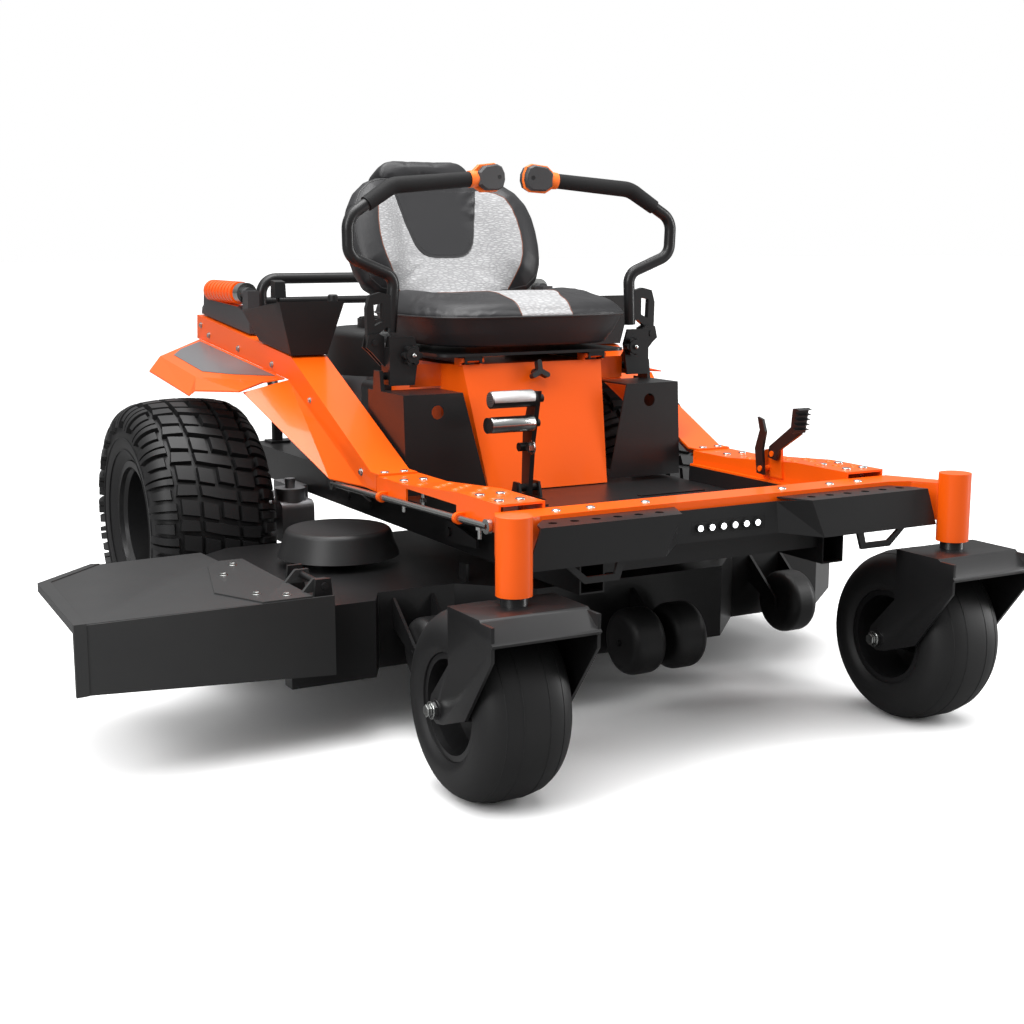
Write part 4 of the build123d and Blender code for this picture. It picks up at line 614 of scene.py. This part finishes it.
def tread_pitch(radius):
    """The blocks of one pitch of the tread, about the frame's origin."""
    pitch = 2 * math.pi * radius / LUG_PITCHES
    half = [([(90, -6), (156, -12), (156, 8), (90, 12)], 12.0, (7, 1)),
            ([(90, 16), (156, 11), (156, 24), (90, 32)], 12.0, (7, 1)),
            ([(98, 40), (142, 38), (140, 60), (98, 66)], 11.0, (5, 1)),
            ([(44, -8), (84, -16), (84, 22), (44, 30)], TREAD_DEPTH, (3, 2)),
            ([(48, 36), (86, 30), (92, 58), (44, 62)], TREAD_DEPTH, (3, 1)),
            ([(4, 4), (39, -6), (39, 32), (4, 42)], TREAD_DEPTH, (2, 2)),
            ([(-8, 48), (40, 38), (38, 62), (-2, 74)], TREAD_DEPTH, (3, 1))]
    points, faces = [], []
    for side in (1, -1):
        for corners, height, cells in half:
            placed = [(side * u, side * v + (pitch / 2 if side < 0 else 0)) for u, v in corners]
            more, shapes = lug(placed, height, radius, cells)
            faces += [tuple(len(points) + k for k in f) for f in shapes]
            points += more
    return mesh_object("tread_pitch", points, faces, 30)


def with_ridges(name, carcass, sections, centre):
    """The carcass with a moulded line spun from each section, on both sides of the tyre."""
    for section in sections:
        for way in (1, -1):
            ridge = spun("ridge", [(way * x, r) for x, r in section], centre, steps=TYRE_STEPS)
            carcass = joined(name, [carcass, ridge])
    return carcass


def mirrored_wall(wall):
    return wall + [(-x, r) for x, r in reversed(wall[1:])]


def rear_tyre(side):
    node, name = "rear_tyre_" + side, "rear_carcass_" + side
    low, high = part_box(node)
    centre = (low + high) / 2
    radius = (high.z - low.z) * 500
    outer = [tread_surface(u, 0, radius) for u in (0, 20, 40, 60, 78, 94, 104, 114, 124, 134, 144, 152)]
    wall = outer + [(134.5, 198), (133, 178), (127, 160), (120, 151), (116, 143.5), (100, 143.5)]
    carcass = spun(name, mirrored_wall(wall), centre, steps=TYRE_STEPS)
    ridges = [[(x, r - 1.6), (x + 1.2, r), (x, r + 1.6), (x - 2, r)] for x, r in ((135.2, 196), (131.5, 168))]
    carcass = with_ridges(name, carcass, ridges, centre)
    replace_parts(shown(carcass, tyre_rubber, "rear_wheel_" + side), node)
    tread = grown("rear_tread_" + side, tread_pitch(radius), RING, Count=LUG_PITCHES, Centre=centre,
                  Axis=(1, 0, 0), Finish=tyre_rubber)
    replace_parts(shown(tread, None, "rear_wheel_" + side), node)


def caster_tyre(side):
    node, name = "caster_tyre_" + side, "caster_carcass_" + side
    low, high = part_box(node)
    centre = (low + high) / 2
    radius, half = (high.z - low.z) * 500, (high.x - low.x) * 500
    root = 106.0
    round_part = []
    for k in range(19):
        angle = math.radians(90 - 5 * k)
        round_part.append((half * abs(math.cos(angle)) ** 0.72, root + (radius - root) * math.sin(angle) ** 0.8))
    wall = round_part + [(half - 1.5, 101), (half - 5, 96), (half - 9, 91), (half - 16, 90.2)]
    carcass = spun(name, mirrored_wall(wall), centre, steps=TYRE_STEPS)
    seams = []
    for x in (24.0, 52.0):
        r = np.interp(x, *zip(*round_part))
        seams.append([(x - 1.2, r - 1), (x, r + 0.7), (x + 1.2, r - 1), (x, r - 3)])
    carcass = with_ridges(name, carcass, seams, centre)
    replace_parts(shown(carcass, tyre_rubber, "caster_wheel_" + side), node)


SIDES = (("right", -1), ("left", 1))
for side, sign in SIDES:
    rear_tyre(side)
    caster_tyre(side)


# ---------------------------------------------------------------- padded seat
def kept_result(obj):
    """Replaces the object's mesh by its mesh with modifiers, and drops them."""
    evaluated = obj.evaluated_get(bpy.context.evaluated_depsgraph_get())
    mesh = bpy.data.meshes.new_from_object(evaluated)
    obj.modifiers.clear()
    obj.data = mesh


CLOTH_FRAMES = 20


def coordinates(obj):
    """The piece's points as rows of an array."""
    found = np.zeros(len(obj.data.vertices) * 3, np.float32)
    obj.data.vertices.foreach_get("co", found)
    return found.reshape(-1, 3)


def remeshed(obj, voxel):
    modifier = obj.modifiers.new("remesh", "REMESH")
    modifier.mode = "VOXEL"
    modifier.voxel_size = voxel
    kept_result(obj)


def inflated(obj, limit, pinned):
    """Blows the cover up against its seams with a cloth simulation; no point moves more than limit metres."""
    rest = coordinates(obj)
    group = obj.vertex_groups.new(name="seams")
    for i in np.nonzero(pinned(rest))[0]:
        group.add([int(i)], 1.0, "REPLACE")
    modifier = obj.modifiers.new("cloth", "CLOTH")
    modifier.settings.use_pressure = True
    modifier.settings.uniform_pressure_force = 4.0
    modifier.settings.effector_weights.gravity = 0.0
    modifier.settings.vertex_group_mass = "seams"
    modifier.settings.quality = 4
    modifier.collision_settings.use_collision = False
    modifier.point_cache.frame_end = CLOTH_FRAMES
    scene = bpy.context.scene
    for step in range(1, CLOTH_FRAMES + 1):
        scene.frame_set(step)
    kept_result(obj)
    scene.frame_set(1)
    shift = coordinates(obj) - rest
    length = np.linalg.norm(shift, axis=1, keepdims=True)
    shift *= np.minimum(1.0, limit / np.maximum(length, 1e-9))
    obj.data.vertices.foreach_set("co", (rest + shift).ravel())
    obj.vertex_groups.clear()


def subdivided(obj, levels=1):
    modifier = obj.modifiers.new("smooth", "SUBSURF")
    modifier.levels = levels
    modifier.render_levels = levels
    kept_result(obj)
    smooth_shaded(obj.data)


def upholstered(name, rings, voxel, limit, pinned, finish, node):
    """A padded cover over rings of points, blown up between its pinned seams, standing in for node."""
    obj = lofted(name, rings)
    remeshed(obj, voxel)
    inflated(obj, limit, pinned)
    subdivided(obj)
    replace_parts(shown(obj, finish, "seat"), node)
    return obj
CUSHION_LOW, CUSHION_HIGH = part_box("seat_cushion")
SEAM_Z = 0.761
CUSHION_MIDDLE = (CUSHION_LOW + CUSHION_HIGH) / 2


def cushion_outline(share, front_in=0.0, side_in=0.0, steps=72):
    """Plan of the cushion at a share of its size, as points (x, y) in metres from its middle."""
    half_x = (CUSHION_HIGH.x - CUSHION_LOW.x) / 2 - 0.003 - side_in
    half_y = (CUSHION_HIGH.y - CUSHION_LOW.y) / 2 - 0.003 - front_in
    outline = []
    for i in range(steps):
        turn = 2 * math.pi * i / steps
        c, s = math.cos(turn), math.sin(turn)
        x = half_x * math.copysign(abs(c) ** 0.55, c) * share
        y = half_y * math.copysign(abs(s) ** 0.55, s) * share
        outline.append((x, y))
    return outline


def cushion_top(x, y):
    """Height of the cushion's top cover in metres, x and y from its middle."""
    crest = 0.806 - 0.012 * min(1.0, max(0.0, (y + 0.1) / 0.3))
    bolster = 0.016 * math.exp(-((abs(x) - 0.205) / 0.045) ** 2) * min(1.0, max(0.0, (y + 0.14) / 0.2))
    dip = -0.010 * math.exp(-((abs(x) - 0.145) / 0.045) ** 2) * min(1.0, max(0.0, (y + 0.2) / 0.2))
    return crest + bolster + dip


def on_cushion(x, y, z):
    """Point over the cushion's plan: x and y from its middle, z from the ground, in metres."""
    return Vector((CUSHION_MIDDLE.x + x, CUSHION_MIDDLE.y + y, z))


def seat_cushion():
    rings = []
    for front_in, side_in, z in ((0.028, 0.040, CUSHION_LOW.z + 0.012), (0.014, 0.020, 0.725),
                                 (0.003, 0.004, 0.755), (0.0, 0.0, SEAM_Z)):
        rings.append([on_cushion(x, y, z) for x, y in cushion_outline(1.0, front_in, side_in)])
    for share in (0.985, 0.96, 0.92, 0.86, 0.78, 0.66, 0.5, 0.3, 0.12):
        rise = (1 - share ** 7.5) ** 0.5
        rings.append([on_cushion(x, y, SEAM_Z + (cushion_top(x, y) - SEAM_Z) * rise)
                      for x, y in cushion_outline(share)])
    seams = lambda p: (np.abs(p[:, 2] - SEAM_Z) < 0.007) | (p[:, 2] < CUSHION_LOW.z + 0.02)
    cover = seat_cover("cushion_cover", cushion_panels)
    return upholstered("cushion_cover", rings, 0.006, 0.006, seams, cover, "seat_cushion")


STRIPE = [(0.0, 61.0), (60.0, 66.0), (120.0, 80.0), (460.0, 84.0)]


def cushion_panels(tree):
    """Mask of the cushion's light stripe: its half width grows from the front lip backwards."""
    front = (CUSHION_MIDDLE.x, CUSHION_LOW.y, 0.0)
    width = curve_width(tree, along(tree, front, (0, 1, 0)), STRIPE)
    across = maths(tree, "ABSOLUTE", along(tree, front, (1, 0, 0)))
    inside = maths(tree, "LESS_THAN", across, width)
    above = maths(tree, "GREATER_THAN", along(tree, (0, 0, SEAM_Z), (0, 0, 1)), 0.0)
    return maths(tree, "MULTIPLY", inside, above)


RECLINE = math.radians(24.0)
UP_BACK = Vector((0, math.sin(RECLINE), math.cos(RECLINE)))
FORWARD = Vector((0, -math.cos(RECLINE), math.sin(RECLINE)))
BACK_FOOT = at(0, 1048, 785)
PANEL = [(0, 130), (12, 139), (34, 152), (60, 166), (84, 175), (112, 180), (140, 181), (175, 178), (205, 172),
         (230, 161), (247, 147), (258, 130), (264, 112), (266, 0), (320, 0)]
INSERT = [(0, 0), (98, 0), (99, 26), (102, 44), (108, 57), (118, 67), (132, 75), (156, 82), (180, 88),
          (213, 95), (240, 101), (264, 106), (266, 0), (320, 0)]


def on_back(x, v, d):
    """Point of the backrest: x across, v up the back, d forward of its front plane, in mm."""
    return BACK_FOOT + Vector((x / 1000, 0, 0)) + UP_BACK * (v / 1000) + FORWARD * (d / 1000)


def back_outline(share):
    """Outline of the backrest, (x, v) in mm, drawn in towards its middle by share."""
    outline = [(0, 4), (80, 4), (150, 6), (196, 14), (222, 34), (236, 70), (242, 110), (243, 150), (240, 185),
               (230, 220), (210, 254), (178, 282), (140, 296), (90, 299), (0, 300)]
    points = outline + [(-x, v) for x, v in reversed(outline[1:-1])]
    return [(x * share, 150 + (v - 150) * share) for x, v in points]


def bolster_height(x, v):
    """How far the backrest's cover stands forward of its front plane, in mm."""
    side = max(0.0, min(1.0, (abs(x) - 84) / 92))
    side = side * side * (3 - 2 * side)
    upright = max(0.0, min(1.0, v / 70)) * max(0.0, min(1.0, (318 - v) / 90))
    return 4 + 54 * side * upright ** 0.6


def seat_backrest():
    rings = []
    for share, d in ((0.74, -84), (0.80, -78), (0.88, -62), (0.95, -38), (0.985, -12), (1.0, 8)):
        rings.append([on_back(x, v, d) for x, v in back_outline(share)])
    for share in (0.997, 0.985, 0.96, 0.92, 0.86, 0.78, 0.68, 0.56, 0.42, 0.26, 0.1):
        rise = (1 - share ** 9) ** 0.5
        rings.append([on_back(x, v, 8 + (bolster_height(x, v) - 8) * rise) for x, v in back_outline(share)])
    foot, forward = np.array(BACK_FOOT), np.array(FORWARD)
    seams = lambda p: np.abs((p - foot) @ forward - 0.008) < 0.006
    cover = seat_cover("backrest_cover", back_panels)
    return upholstered("backrest_cover", rings, 0.006, 0.004, seams, cover, "seat_backrest")


def back_panels(tree):
    """Mask of the light panel on the backrest, without the dark insert at its top."""
    height = along(tree, BACK_FOOT, UP_BACK)
    across = maths(tree, "ABSOLUTE", along(tree, BACK_FOOT, (1, 0, 0)))
    front = maths(tree, "GREATER_THAN", along(tree, BACK_FOOT, FORWARD), -0.02)
    panel = maths(tree, "LESS_THAN", across, curve_width(tree, height, PANEL))
    insert = maths(tree, "LESS_THAN", across, curve_width(tree, height, INSERT))
    return maths(tree, "MULTIPLY", maths(tree, "SUBTRACT", panel, insert), front)


def headrest():
    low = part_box("headrest")[0]
    foot = BACK_FOOT + UP_BACK * 0.3003
    base = [(-116, 6), (-122, 16), (-121, 30), (-113, 42), (-98, 52), (-80, 55)]
    outline = base + [(-40, 56), (0, 56)] + [(-x, v) for x, v in reversed(base)] + [(100, 1), (0, 1), (-100, 1)]
    rings = []
    for share, d in ((0.9, -93), (0.98, -90), (1.0, -80), (1.0, -55), (0.995, -34), (0.97, -22), (0.92, -16),
                     (0.7, -13), (0.3, -12)):
        rings.append([foot + Vector((x * share / 1000, 0, 0)) + UP_BACK * ((28 + (v - 28) * share) / 1000)
                      + FORWARD * (d / 1000) for x, v in outline])
    upholstered("headrest_cover", rings, 0.005, 0.004, lambda p: p[:, 2] < low.z + 0.012, seat_vinyl, "headrest")


def skin_of(obj):
    """The piece's surface, to lay points on."""
    bpy.context.view_layer.update()
    return BVHTree.FromObject(obj, bpy.context.evaluated_depsgraph_get())


def laid_on(skin, start, way, lift):
    """The point where a ray from start along way meets the skin, lifted off it, as a list; empty if it misses."""
    hit, normal, index, distance = skin.ray_cast(start, way)
    return [] if hit is None else [hit + normal * lift]


def half_width(points, place):
    """Half width read from (place, half width) points."""
    return np.interp(place, *zip(*points))


piping_rust = material("piping_rust", (0.16, 0.042, 0.015), rough=0.6, scale=1800, bump=0.3)
piping_black = material("piping_black", (0.012, 0.012, 0.013), rough=0.45, scale=1800, bump=0.3)
thread_black = material("thread_black", (0.02, 0.02, 0.021), rough=0.7, scale=2500, bump=0.4)


def trim(name, path, radius, finish, closed=False):
    shown(tube(name, path, radius, 8, closed=closed), finish, "seat")


def stripe_piping(skin, sign):
    """Path of the cord along one edge of the cushion's light stripe, from the front lip backwards."""
    core = Vector((CUSHION_MIDDLE.x, CUSHION_LOW.y + 0.075, 0.74))
    rays = []
    for k in range(22):
        angle = math.radians(14 + 4 * k)
        rays.append((core.copy(), Vector((0, -math.cos(angle), math.sin(angle)))))
    for k in range(24):
        rays.append((core + Vector((0, 0.013 * (k + 1), 0)), Vector((0, 0, 1))))
    path = []
    for start, way in rays:
        y = (start + way * 0.09).y - CUSHION_LOW.y
        start.x = CUSHION_MIDDLE.x + sign * half_width(STRIPE, y * 1000) / 1000
        path += laid_on(skin, start, way, -0.0004)
    return path


def insert_edge(skin, grow):
    """Path round the dark insert, grow mm outside its edge."""
    path = []
    for k in range(-60, 61):
        v = 99 + 165 * (abs(k) / 60) ** 1.6
        x = math.copysign(max(0.0, half_width(INSERT, v) + grow), k)
        path += laid_on(skin, on_back(x, v - grow if abs(k) < 22 else v, 120), -FORWARD, 0.0002)
    return path


def seat_trim(cushion, back):
    """Piping along the light panels and stitches round the dark insert."""
    skin = skin_of(cushion)
    for side, sign in SIDES:
        trim("stripe_piping_" + side, stripe_piping(skin, sign), 0.0012, piping_rust)
    skin = skin_of(back)
    path = []
    for k in range(-50, 51):
        v = 262 * (1 - abs(k) / 50)
        x = math.copysign(half_width(PANEL, v), k)
        path += laid_on(skin, on_back(x, v + 0.1, 120), -FORWARD, -0.0004)
    half = len(path) // 2
    trim("panel_piping_right", path[:half], 0.0012, piping_rust)
    trim("panel_piping_left", path[half + 1:], 0.0012, piping_rust)
    trim("insert_welt", insert_edge(skin, 0.0), 0.0013, piping_black)
    path = insert_edge(skin, -7.0)
    line = bpy.data.meshes.new("insert_stitches")
    line.from_pydata([tuple(p) for p in path], [(i, i + 1) for i in range(len(path) - 1)], [])
    thread = [Vector((-0.0016, 0, 0)), Vector((0, 0, 0.0003)), Vector((0.0016, 0, 0))]
    stitch = master(tube("stitch", thread, 0.0005, 6, taper=0.5))
    row = grown("insert_stitches", in_scene("insert_stitches", line), STITCHES, Shape=stitch, Pitch=0.0048,
                Finish=thread_black)
    bpy.data.objects.remove(stitch)
    shown(row, None, "seat")
    outline = back_outline(0.955)
    path = []
    for a, b in zip(outline, outline[1:] + outline[:1]):
        for k in range(6):
            x, v = a[0] + (b[0] - a[0]) * k / 6, a[1] + (b[1] - a[1]) * k / 6
            path += laid_on(skin, on_back(x, v, 140), -FORWARD, -0.0003)
    trim("backrest_welt", path, 0.0017, piping_black, closed=True)
    path = [on_cushion(x * 1.0005, y * 1.0005, SEAM_Z) for x, y in cushion_outline(1.0, steps=160)]
    trim("cushion_welt", path, 0.0022, piping_black, closed=True)


CUSHION = seat_cushion()
BACK = seat_backrest()
headrest()
seat_trim(CUSHION, BACK)


# ---------------------------------------------------------------- steering levers
accent_orange = material("accent_orange", (0.95, 0.17, 0.01), rough=0.45, scale=900, bump=0.15)
head_plastic = material("head_plastic", (0.03, 0.03, 0.032), rough=0.5, scale=1400, bump=0.25)


def lever(side, sign):
    """Foam sleeve on one steering lever, and the head at its end."""
    body = "lever_" + side
    corners = [at(sign * x, y, z) for x, y, z in ((393, 742, 962), (289, 753, 1027), (104, 765, 1043))]
    path = rounded_path([corners[0] + (corners[1] - corners[0]) * 0.42, corners[1], corners[2]], [0.060])
    ahead = (corners[2] - corners[1]).normalized()
    forward = Vector((0, -1, 0))
    forward = (forward - ahead * forward.dot(ahead)).normalized()
    up = forward.cross(ahead)
    end = corners[2] + ahead * 0.001
    octagon = [(4, -16), (22, -29), (60, -30), (72, -23), (77, -8), (77, 8), (72, 23), (60, 30), (22, 29), (4, 16)]
    inner = [(12, -13), (27, -25), (59, -27), (71, -21), (77, -7), (77, 7), (71, 21), (59, 27), (27, 25), (12, 13)]
    cap = end + ahead * 0.061
    pieces = (
        (tube("grip_sleeve_" + side, path, 0.0172, 28, taper=0.93), grip_foam, "grip_foam"),
        (plate("head_band_" + side, octagon, 9, end - forward * 0.004, ahead, up, 2.0),
         accent_orange, "spring_paint"),
        (plate("head_front_" + side, inner, 16, end + forward * 0.004, ahead, up, 4.5),
         head_plastic, "black_plastic"),
        (plate("head_rear_" + side, inner, 15, end - forward * 0.018, ahead, up, 4.0),
         head_plastic, "black_plastic"),
        (tube("head_collar_" + side, [end + ahead * run for run in (-0.004, 0.004, 0.014)], 0.0182, 28, taper=0.96),
         accent_orange, "spring_paint"),
        (tube("head_button_" + side, [cap + forward * 0.018, cap + forward * 0.0205], 0.0045, 20),
         black_plastic, "black_plastic"))
    for piece, finish, slot in pieces:
        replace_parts(shown(piece, finish, body), "lever_grip_" + side)


for side, sign in SIDES:
    lever(side, sign)


# ---------------------------------------------------------------- lamps, bolts, dimples and badges
def lit(name, colour, strength):
    made = material(name, (0.9, 0.9, 0.9), rough=0.2)
    wire(made.node_tree, shader_of(made), {"Emission Color": (*colour, 1), "Emission Strength": strength})
    return made


lamp_lit = lit("lamp_lit", (0.95, 0.97, 1.0), 4.0)
NODES["light_bar"].data.materials.clear()
NODES["light_bar"].data.materials.append(black_plastic)


def small_parts(name, shape, places, finish, body):
    """One piece made of copies of a shape at places (point, facing)."""
    made = grown(name, spots(name, places), SCATTER, Shape=master(shape), Finish=finish)
    bpy.data.objects.remove(shape)
    return shown(made, None, body)


UP, FRONT, BACKWARD, RIGHT, LEFT = (0, 0, 1), (0, -1, 0), (0, 1, 0), (-1, 0, 0), (1, 0, 0)
bar_low, bar_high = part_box("light_bar")
LAMPS, LAMP_PITCH = 6, 0.025
bar_z = (bar_low.z + bar_high.z) / 2
lamp_row = [(Vector((CENTRE_X + (k - (LAMPS - 1) / 2) * LAMP_PITCH, bar_low.y - 0.0002, bar_z)), FRONT)
            for k in range(LAMPS)]
small_parts("lamps", dome_head(5.5, 2.0), lamp_row, lamp_lit, "chassis")


def both_ways(places):
    """The places and their mirror images in the centreplane."""
    return places + [(Vector((2 * CENTRE_X - p.x, p.y, p.z)), (-w[0], w[1], w[2])) for p, w in places]


def step_height(y):
    """Height in mm of the side rail's step: level at the front, then falling to the rear."""
    return 482 - max(0, y - 205) * 17 / 220


wall_screws = [(at(-422, y, z), RIGHT)
               for y, z in ((895, 581), (627, 463), (1622, 706), (1560, 684), (1343, 664), (1118, 642))]
small_parts("wall_screws", hex_head(10, 5, 8), both_ways(wall_screws), zinc, "chassis")
beam_bolts = [(at(x, 22, 470), UP) for x in (-330, -262, -150)]
small_parts("beam_bolts", dome_head(8.5, 3.5), both_ways(beam_bolts), zinc, "chassis")
dimples = [(at(-400 + 24 * (k % 3), 112 + 24 * k, step_height(112 + 24 * k)), UP) for k in range(13)]
small_parts("step_dimples", dome_head(9.5, 3.2), both_ways(dimples), orange_paint, "chassis")
for side, sign in SIDES:
    fork_low, fork_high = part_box("caster_fork_" + side)
    wheel = middle("caster_tyre_" + side)
    ends = [(Vector((fork_low.x + 0.004, wheel.y, wheel.z)), RIGHT),
            (Vector((fork_high.x - 0.004, wheel.y, wheel.z)), LEFT)]
    small_parts("axle_bolts_" + side, hex_head(19, 11, 15), ends, zinc, "caster_fork_" + side)


def peg_finish():
    """Diamond-cut bright metal of the foot pegs."""
    made = material("knurled_metal", (0.6, 0.6, 0.6), rough=0.3, metal=1.0)
    tree = made.node_tree
    waves = []
    for slant in (1, -1):
        turn = added(tree, "ShaderNodeMapping",
                     {"Rotation": (0, slant * 0.75, 0), "Vector": object_coordinates(tree)})
        wave = added(tree, "ShaderNodeTexWave", {"Scale": 130.0, "Vector": turn.outputs["Vector"]})
        waves.append(wave.outputs["Fac"])
    bumps = shader_of(made).inputs["Normal"].links[0].from_node
    wire(tree, bumps, {"Strength": 0.6, "Distance": 0.001, "Height": maths(tree, "MULTIPLY", *waves)})
    return made


knurled = peg_finish()
PEG_LEAD = Vector((0.003, 0, 0))
for name, z, finish in (("foot_peg_1", 606, knurled), ("foot_peg_2", 555, zinc)):
    start, end = at(-195.5, 507, z), at(-98, 507, z)
    peg = tube(name, [start, start + PEG_LEAD, end - PEG_LEAD, end], 0.0166, 32, taper=0.9)
    shown(peg, finish, "lift_pedal")
small_parts("pedal_nut", hex_head(17, 12, 14), [(at(-98, 507, 505), RIGHT)], zinc, "lift_pedal")


# ---------------------------------------------------------------- two-colour and rounded pieces
bracket_grey = material("bracket_grey", (0.045, 0.045, 0.047), rough=0.5, scale=800, bump=0.15, dust=0.01,
                        specular=0.35)
badge_grey = material("badge_grey", (0.12, 0.12, 0.125), rough=0.35, coat=0.2, scale=700, bump=0.05, dust=0.0)
SPRING_X, SPRING_Z = 398.0, 793.0
spring_rear, spring_front, ring_front = at(0, 1612, 0).y, at(0, 1378, 0).y, at(0, 1338, 0).y


def spring_finish(spot):
    """Orange coil, bright ring in front of it, grey bracket."""
    away = math.hypot(abs(spot.x - CENTRE_X) - SPRING_X / 1000, spot.z - SPRING_Z / 1000)
    if away < 0.0285 and spring_front < spot.y < spring_rear:
        return 0
    return 1 if away < 0.0285 and ring_front < spot.y <= spring_front else 2


painted_by(copied("isolator_mount", "spring_units", "chassis"),
           [orange_paint, zinc, bracket_grey], spring_finish)
softened("consoles", black_plastic, "chassis", 5.0, 50)
softened("discharge_chute", chute_plastic, "chute", 1.6)
for side, sign in SIDES:
    softened("caster_fork_" + side, black_paint, "caster_fork_" + side, 1.2)
    softened("arm_" + side, orange_paint, "chassis", 1.2)

FALL = math.tan(math.radians(12.0))
RISE = 56 / 639
for side, sign in SIDES:
    corner = at(sign * 430, 1078, 616 + 59 * RISE - 8 * FALL + 0.3)
    along_edge = Vector((0, 1, RISE))
    outward = Vector((sign, 0, -FALL))
    shape = [(0, 0), (530, 0), (500, 60), (455, 92), (215, 98), (120, 62)]
    badge = plate("fender_badge_" + side, shape, -1.0 * sign, corner, along_edge, outward)
    shown(badge, badge_grey, "chassis")

for side, sign in SIDES:
    small_parts("knob_stud_" + side, dome_head(4.5, 2.0), [(at(sign * 272, 690, 684), FRONT)], zinc,
                "control_" + side)

shroud_low, shroud_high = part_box("engine_shroud")
shroud_middle = (shroud_low + shroud_high) / 2
rib = plate("rib", [(30, -1.6), (88, -1.6), (88, 1.6), (30, 1.6)], 4, ORIGIN, AHEAD_X, AHEAD_Y, 0.6)
rib_place = Vector((shroud_middle.x, shroud_middle.y, shroud_high.z - 0.0005))
ribs = grown("screen_ribs", rib, RING, Count=28, Centre=rib_place, Axis=(0, 0, 1), Finish=black_plastic)
shown(ribs, None, "chassis")
hub = spun("screen_hub", [(0, 0.01), (0, 30), (5, 28), (7, 22), (7, 0.01)],
           Vector((shroud_middle.x, shroud_middle.y, shroud_high.z - 0.0003)), "Z", 48)
shown(hub, zinc, "chassis")
plate_bolts = [(at(x, y, 299), UP) for x, y in ((-690, 348), (-735, 380), (-690, 640), (-735, 560))]
small_parts("chute_bolts", hex_head(10, 5, 9), plate_bolts, zinc, "chute")
hinge_rod = tube("chute_hinge_rod", [at(-625, 330, 312), at(-625, 470, 312)], 0.0052, 16)
shown(hinge_rod, zinc, "deck")
# ---------------------------------------------------------------- studio
def surroundings():
    """White behind the machine; in its reflections, a bright ceiling over darker walls."""
    world = bpy.data.worlds.new("studio")
    bpy.context.scene.world = world
    world.use_nodes = True
    tree = world.node_tree
    ramp = tree.nodes.new("ShaderNodeValToRGB")
    for stop, (place, grey) in zip(ramp.color_ramp.elements, ((0.46, 0.06), (0.95, 0.85))):
        stop.position = place
        stop.color = (grey, grey, grey, 1)
    split = tree.nodes.new("ShaderNodeSeparateXYZ")
    spot = tree.nodes.new("ShaderNodeTexCoord")
    link(tree, spot.outputs["Generated"], split.inputs[0])
    link(tree, maths(tree, "MULTIPLY_ADD", split.outputs["Z"], 0.5, 0.5), ramp.inputs["Fac"])
    rays = tree.nodes.new("ShaderNodeLightPath")
    shown_colour = mixed(tree, rays.outputs["Is Camera Ray"], ramp.outputs["Color"], (1.0, 1.0, 1.0))
    link(tree, shown_colour, tree.nodes["Background"].inputs["Color"])


def studio():
    """Pale floor, white surroundings, soft lights and the camera."""
    bpy.ops.mesh.primitive_plane_add(size=120, location=at(0, 600, 0))
    floor = bpy.context.object
    floor.name = "floor"
    pale = material("floor_white", (0.9, 0.9, 0.9), rough=0.8, dust=0.0, bump=0.0, specular=0.1)
    tree = pale.node_tree
    rays = tree.nodes.new("ShaderNodeLightPath")
    seen = mixed(tree, rays.outputs["Is Camera Ray"], (0.24, 0.24, 0.24), (1.0, 1.0, 1.0))
    link(tree, seen, tree.nodes["Principled BSDF"].inputs["Base Color"])
    floor.data.materials.append(pale)
    scene = bpy.context.scene
    surroundings()
    sun = bpy.data.objects.new("daylight", bpy.data.lights.new("daylight", "SUN"))
    sun.data.energy = 2.5
    sun.data.angle = math.radians(70)
    sun.rotation_euler = (at(-500, -300, 3000) - at(0, 0, 0)).to_track_quat("Z", "Y").to_euler()
    scene.collection.objects.link(sun)
    for name, place, aim, size, power in (
            ("top", (-300, 900, 3200), (0, 600, 0), (2.6, 1.6), 60),
            ("left", (-3300, -900, 2300), (0, 500, 500), (1.4, 2.6), 90),
            ("right", (3300, -1100, 1500), (0, 500, 400), (0.9, 2.6), 80)):
        data = bpy.data.lights.new(name, "AREA")
        data.shape = "RECTANGLE"
        data.size, data.size_y = size
        data.energy = power
        lamp = bpy.data.objects.new(name, data)
        scene.collection.objects.link(lamp)
        lamp.location = at(*place)
        lamp.rotation_euler = (at(*aim) - at(*place)).to_track_quat("-Z", "Y").to_euler()
    camera = bpy.data.objects.new("camera", bpy.data.cameras.new("camera"))
    scene.collection.objects.link(camera)
    camera.data.lens = 54.27
    camera.data.sensor_width = 36.0
    camera.location = at(-1634.0, -2175.8, 918.9)
    camera.rotation_euler = (math.radians(79.98), 0, math.radians(-29.02))
    camera.data.clip_end = 200
    scene.camera = camera
    scene.view_settings.view_transform = "Standard"


studio()
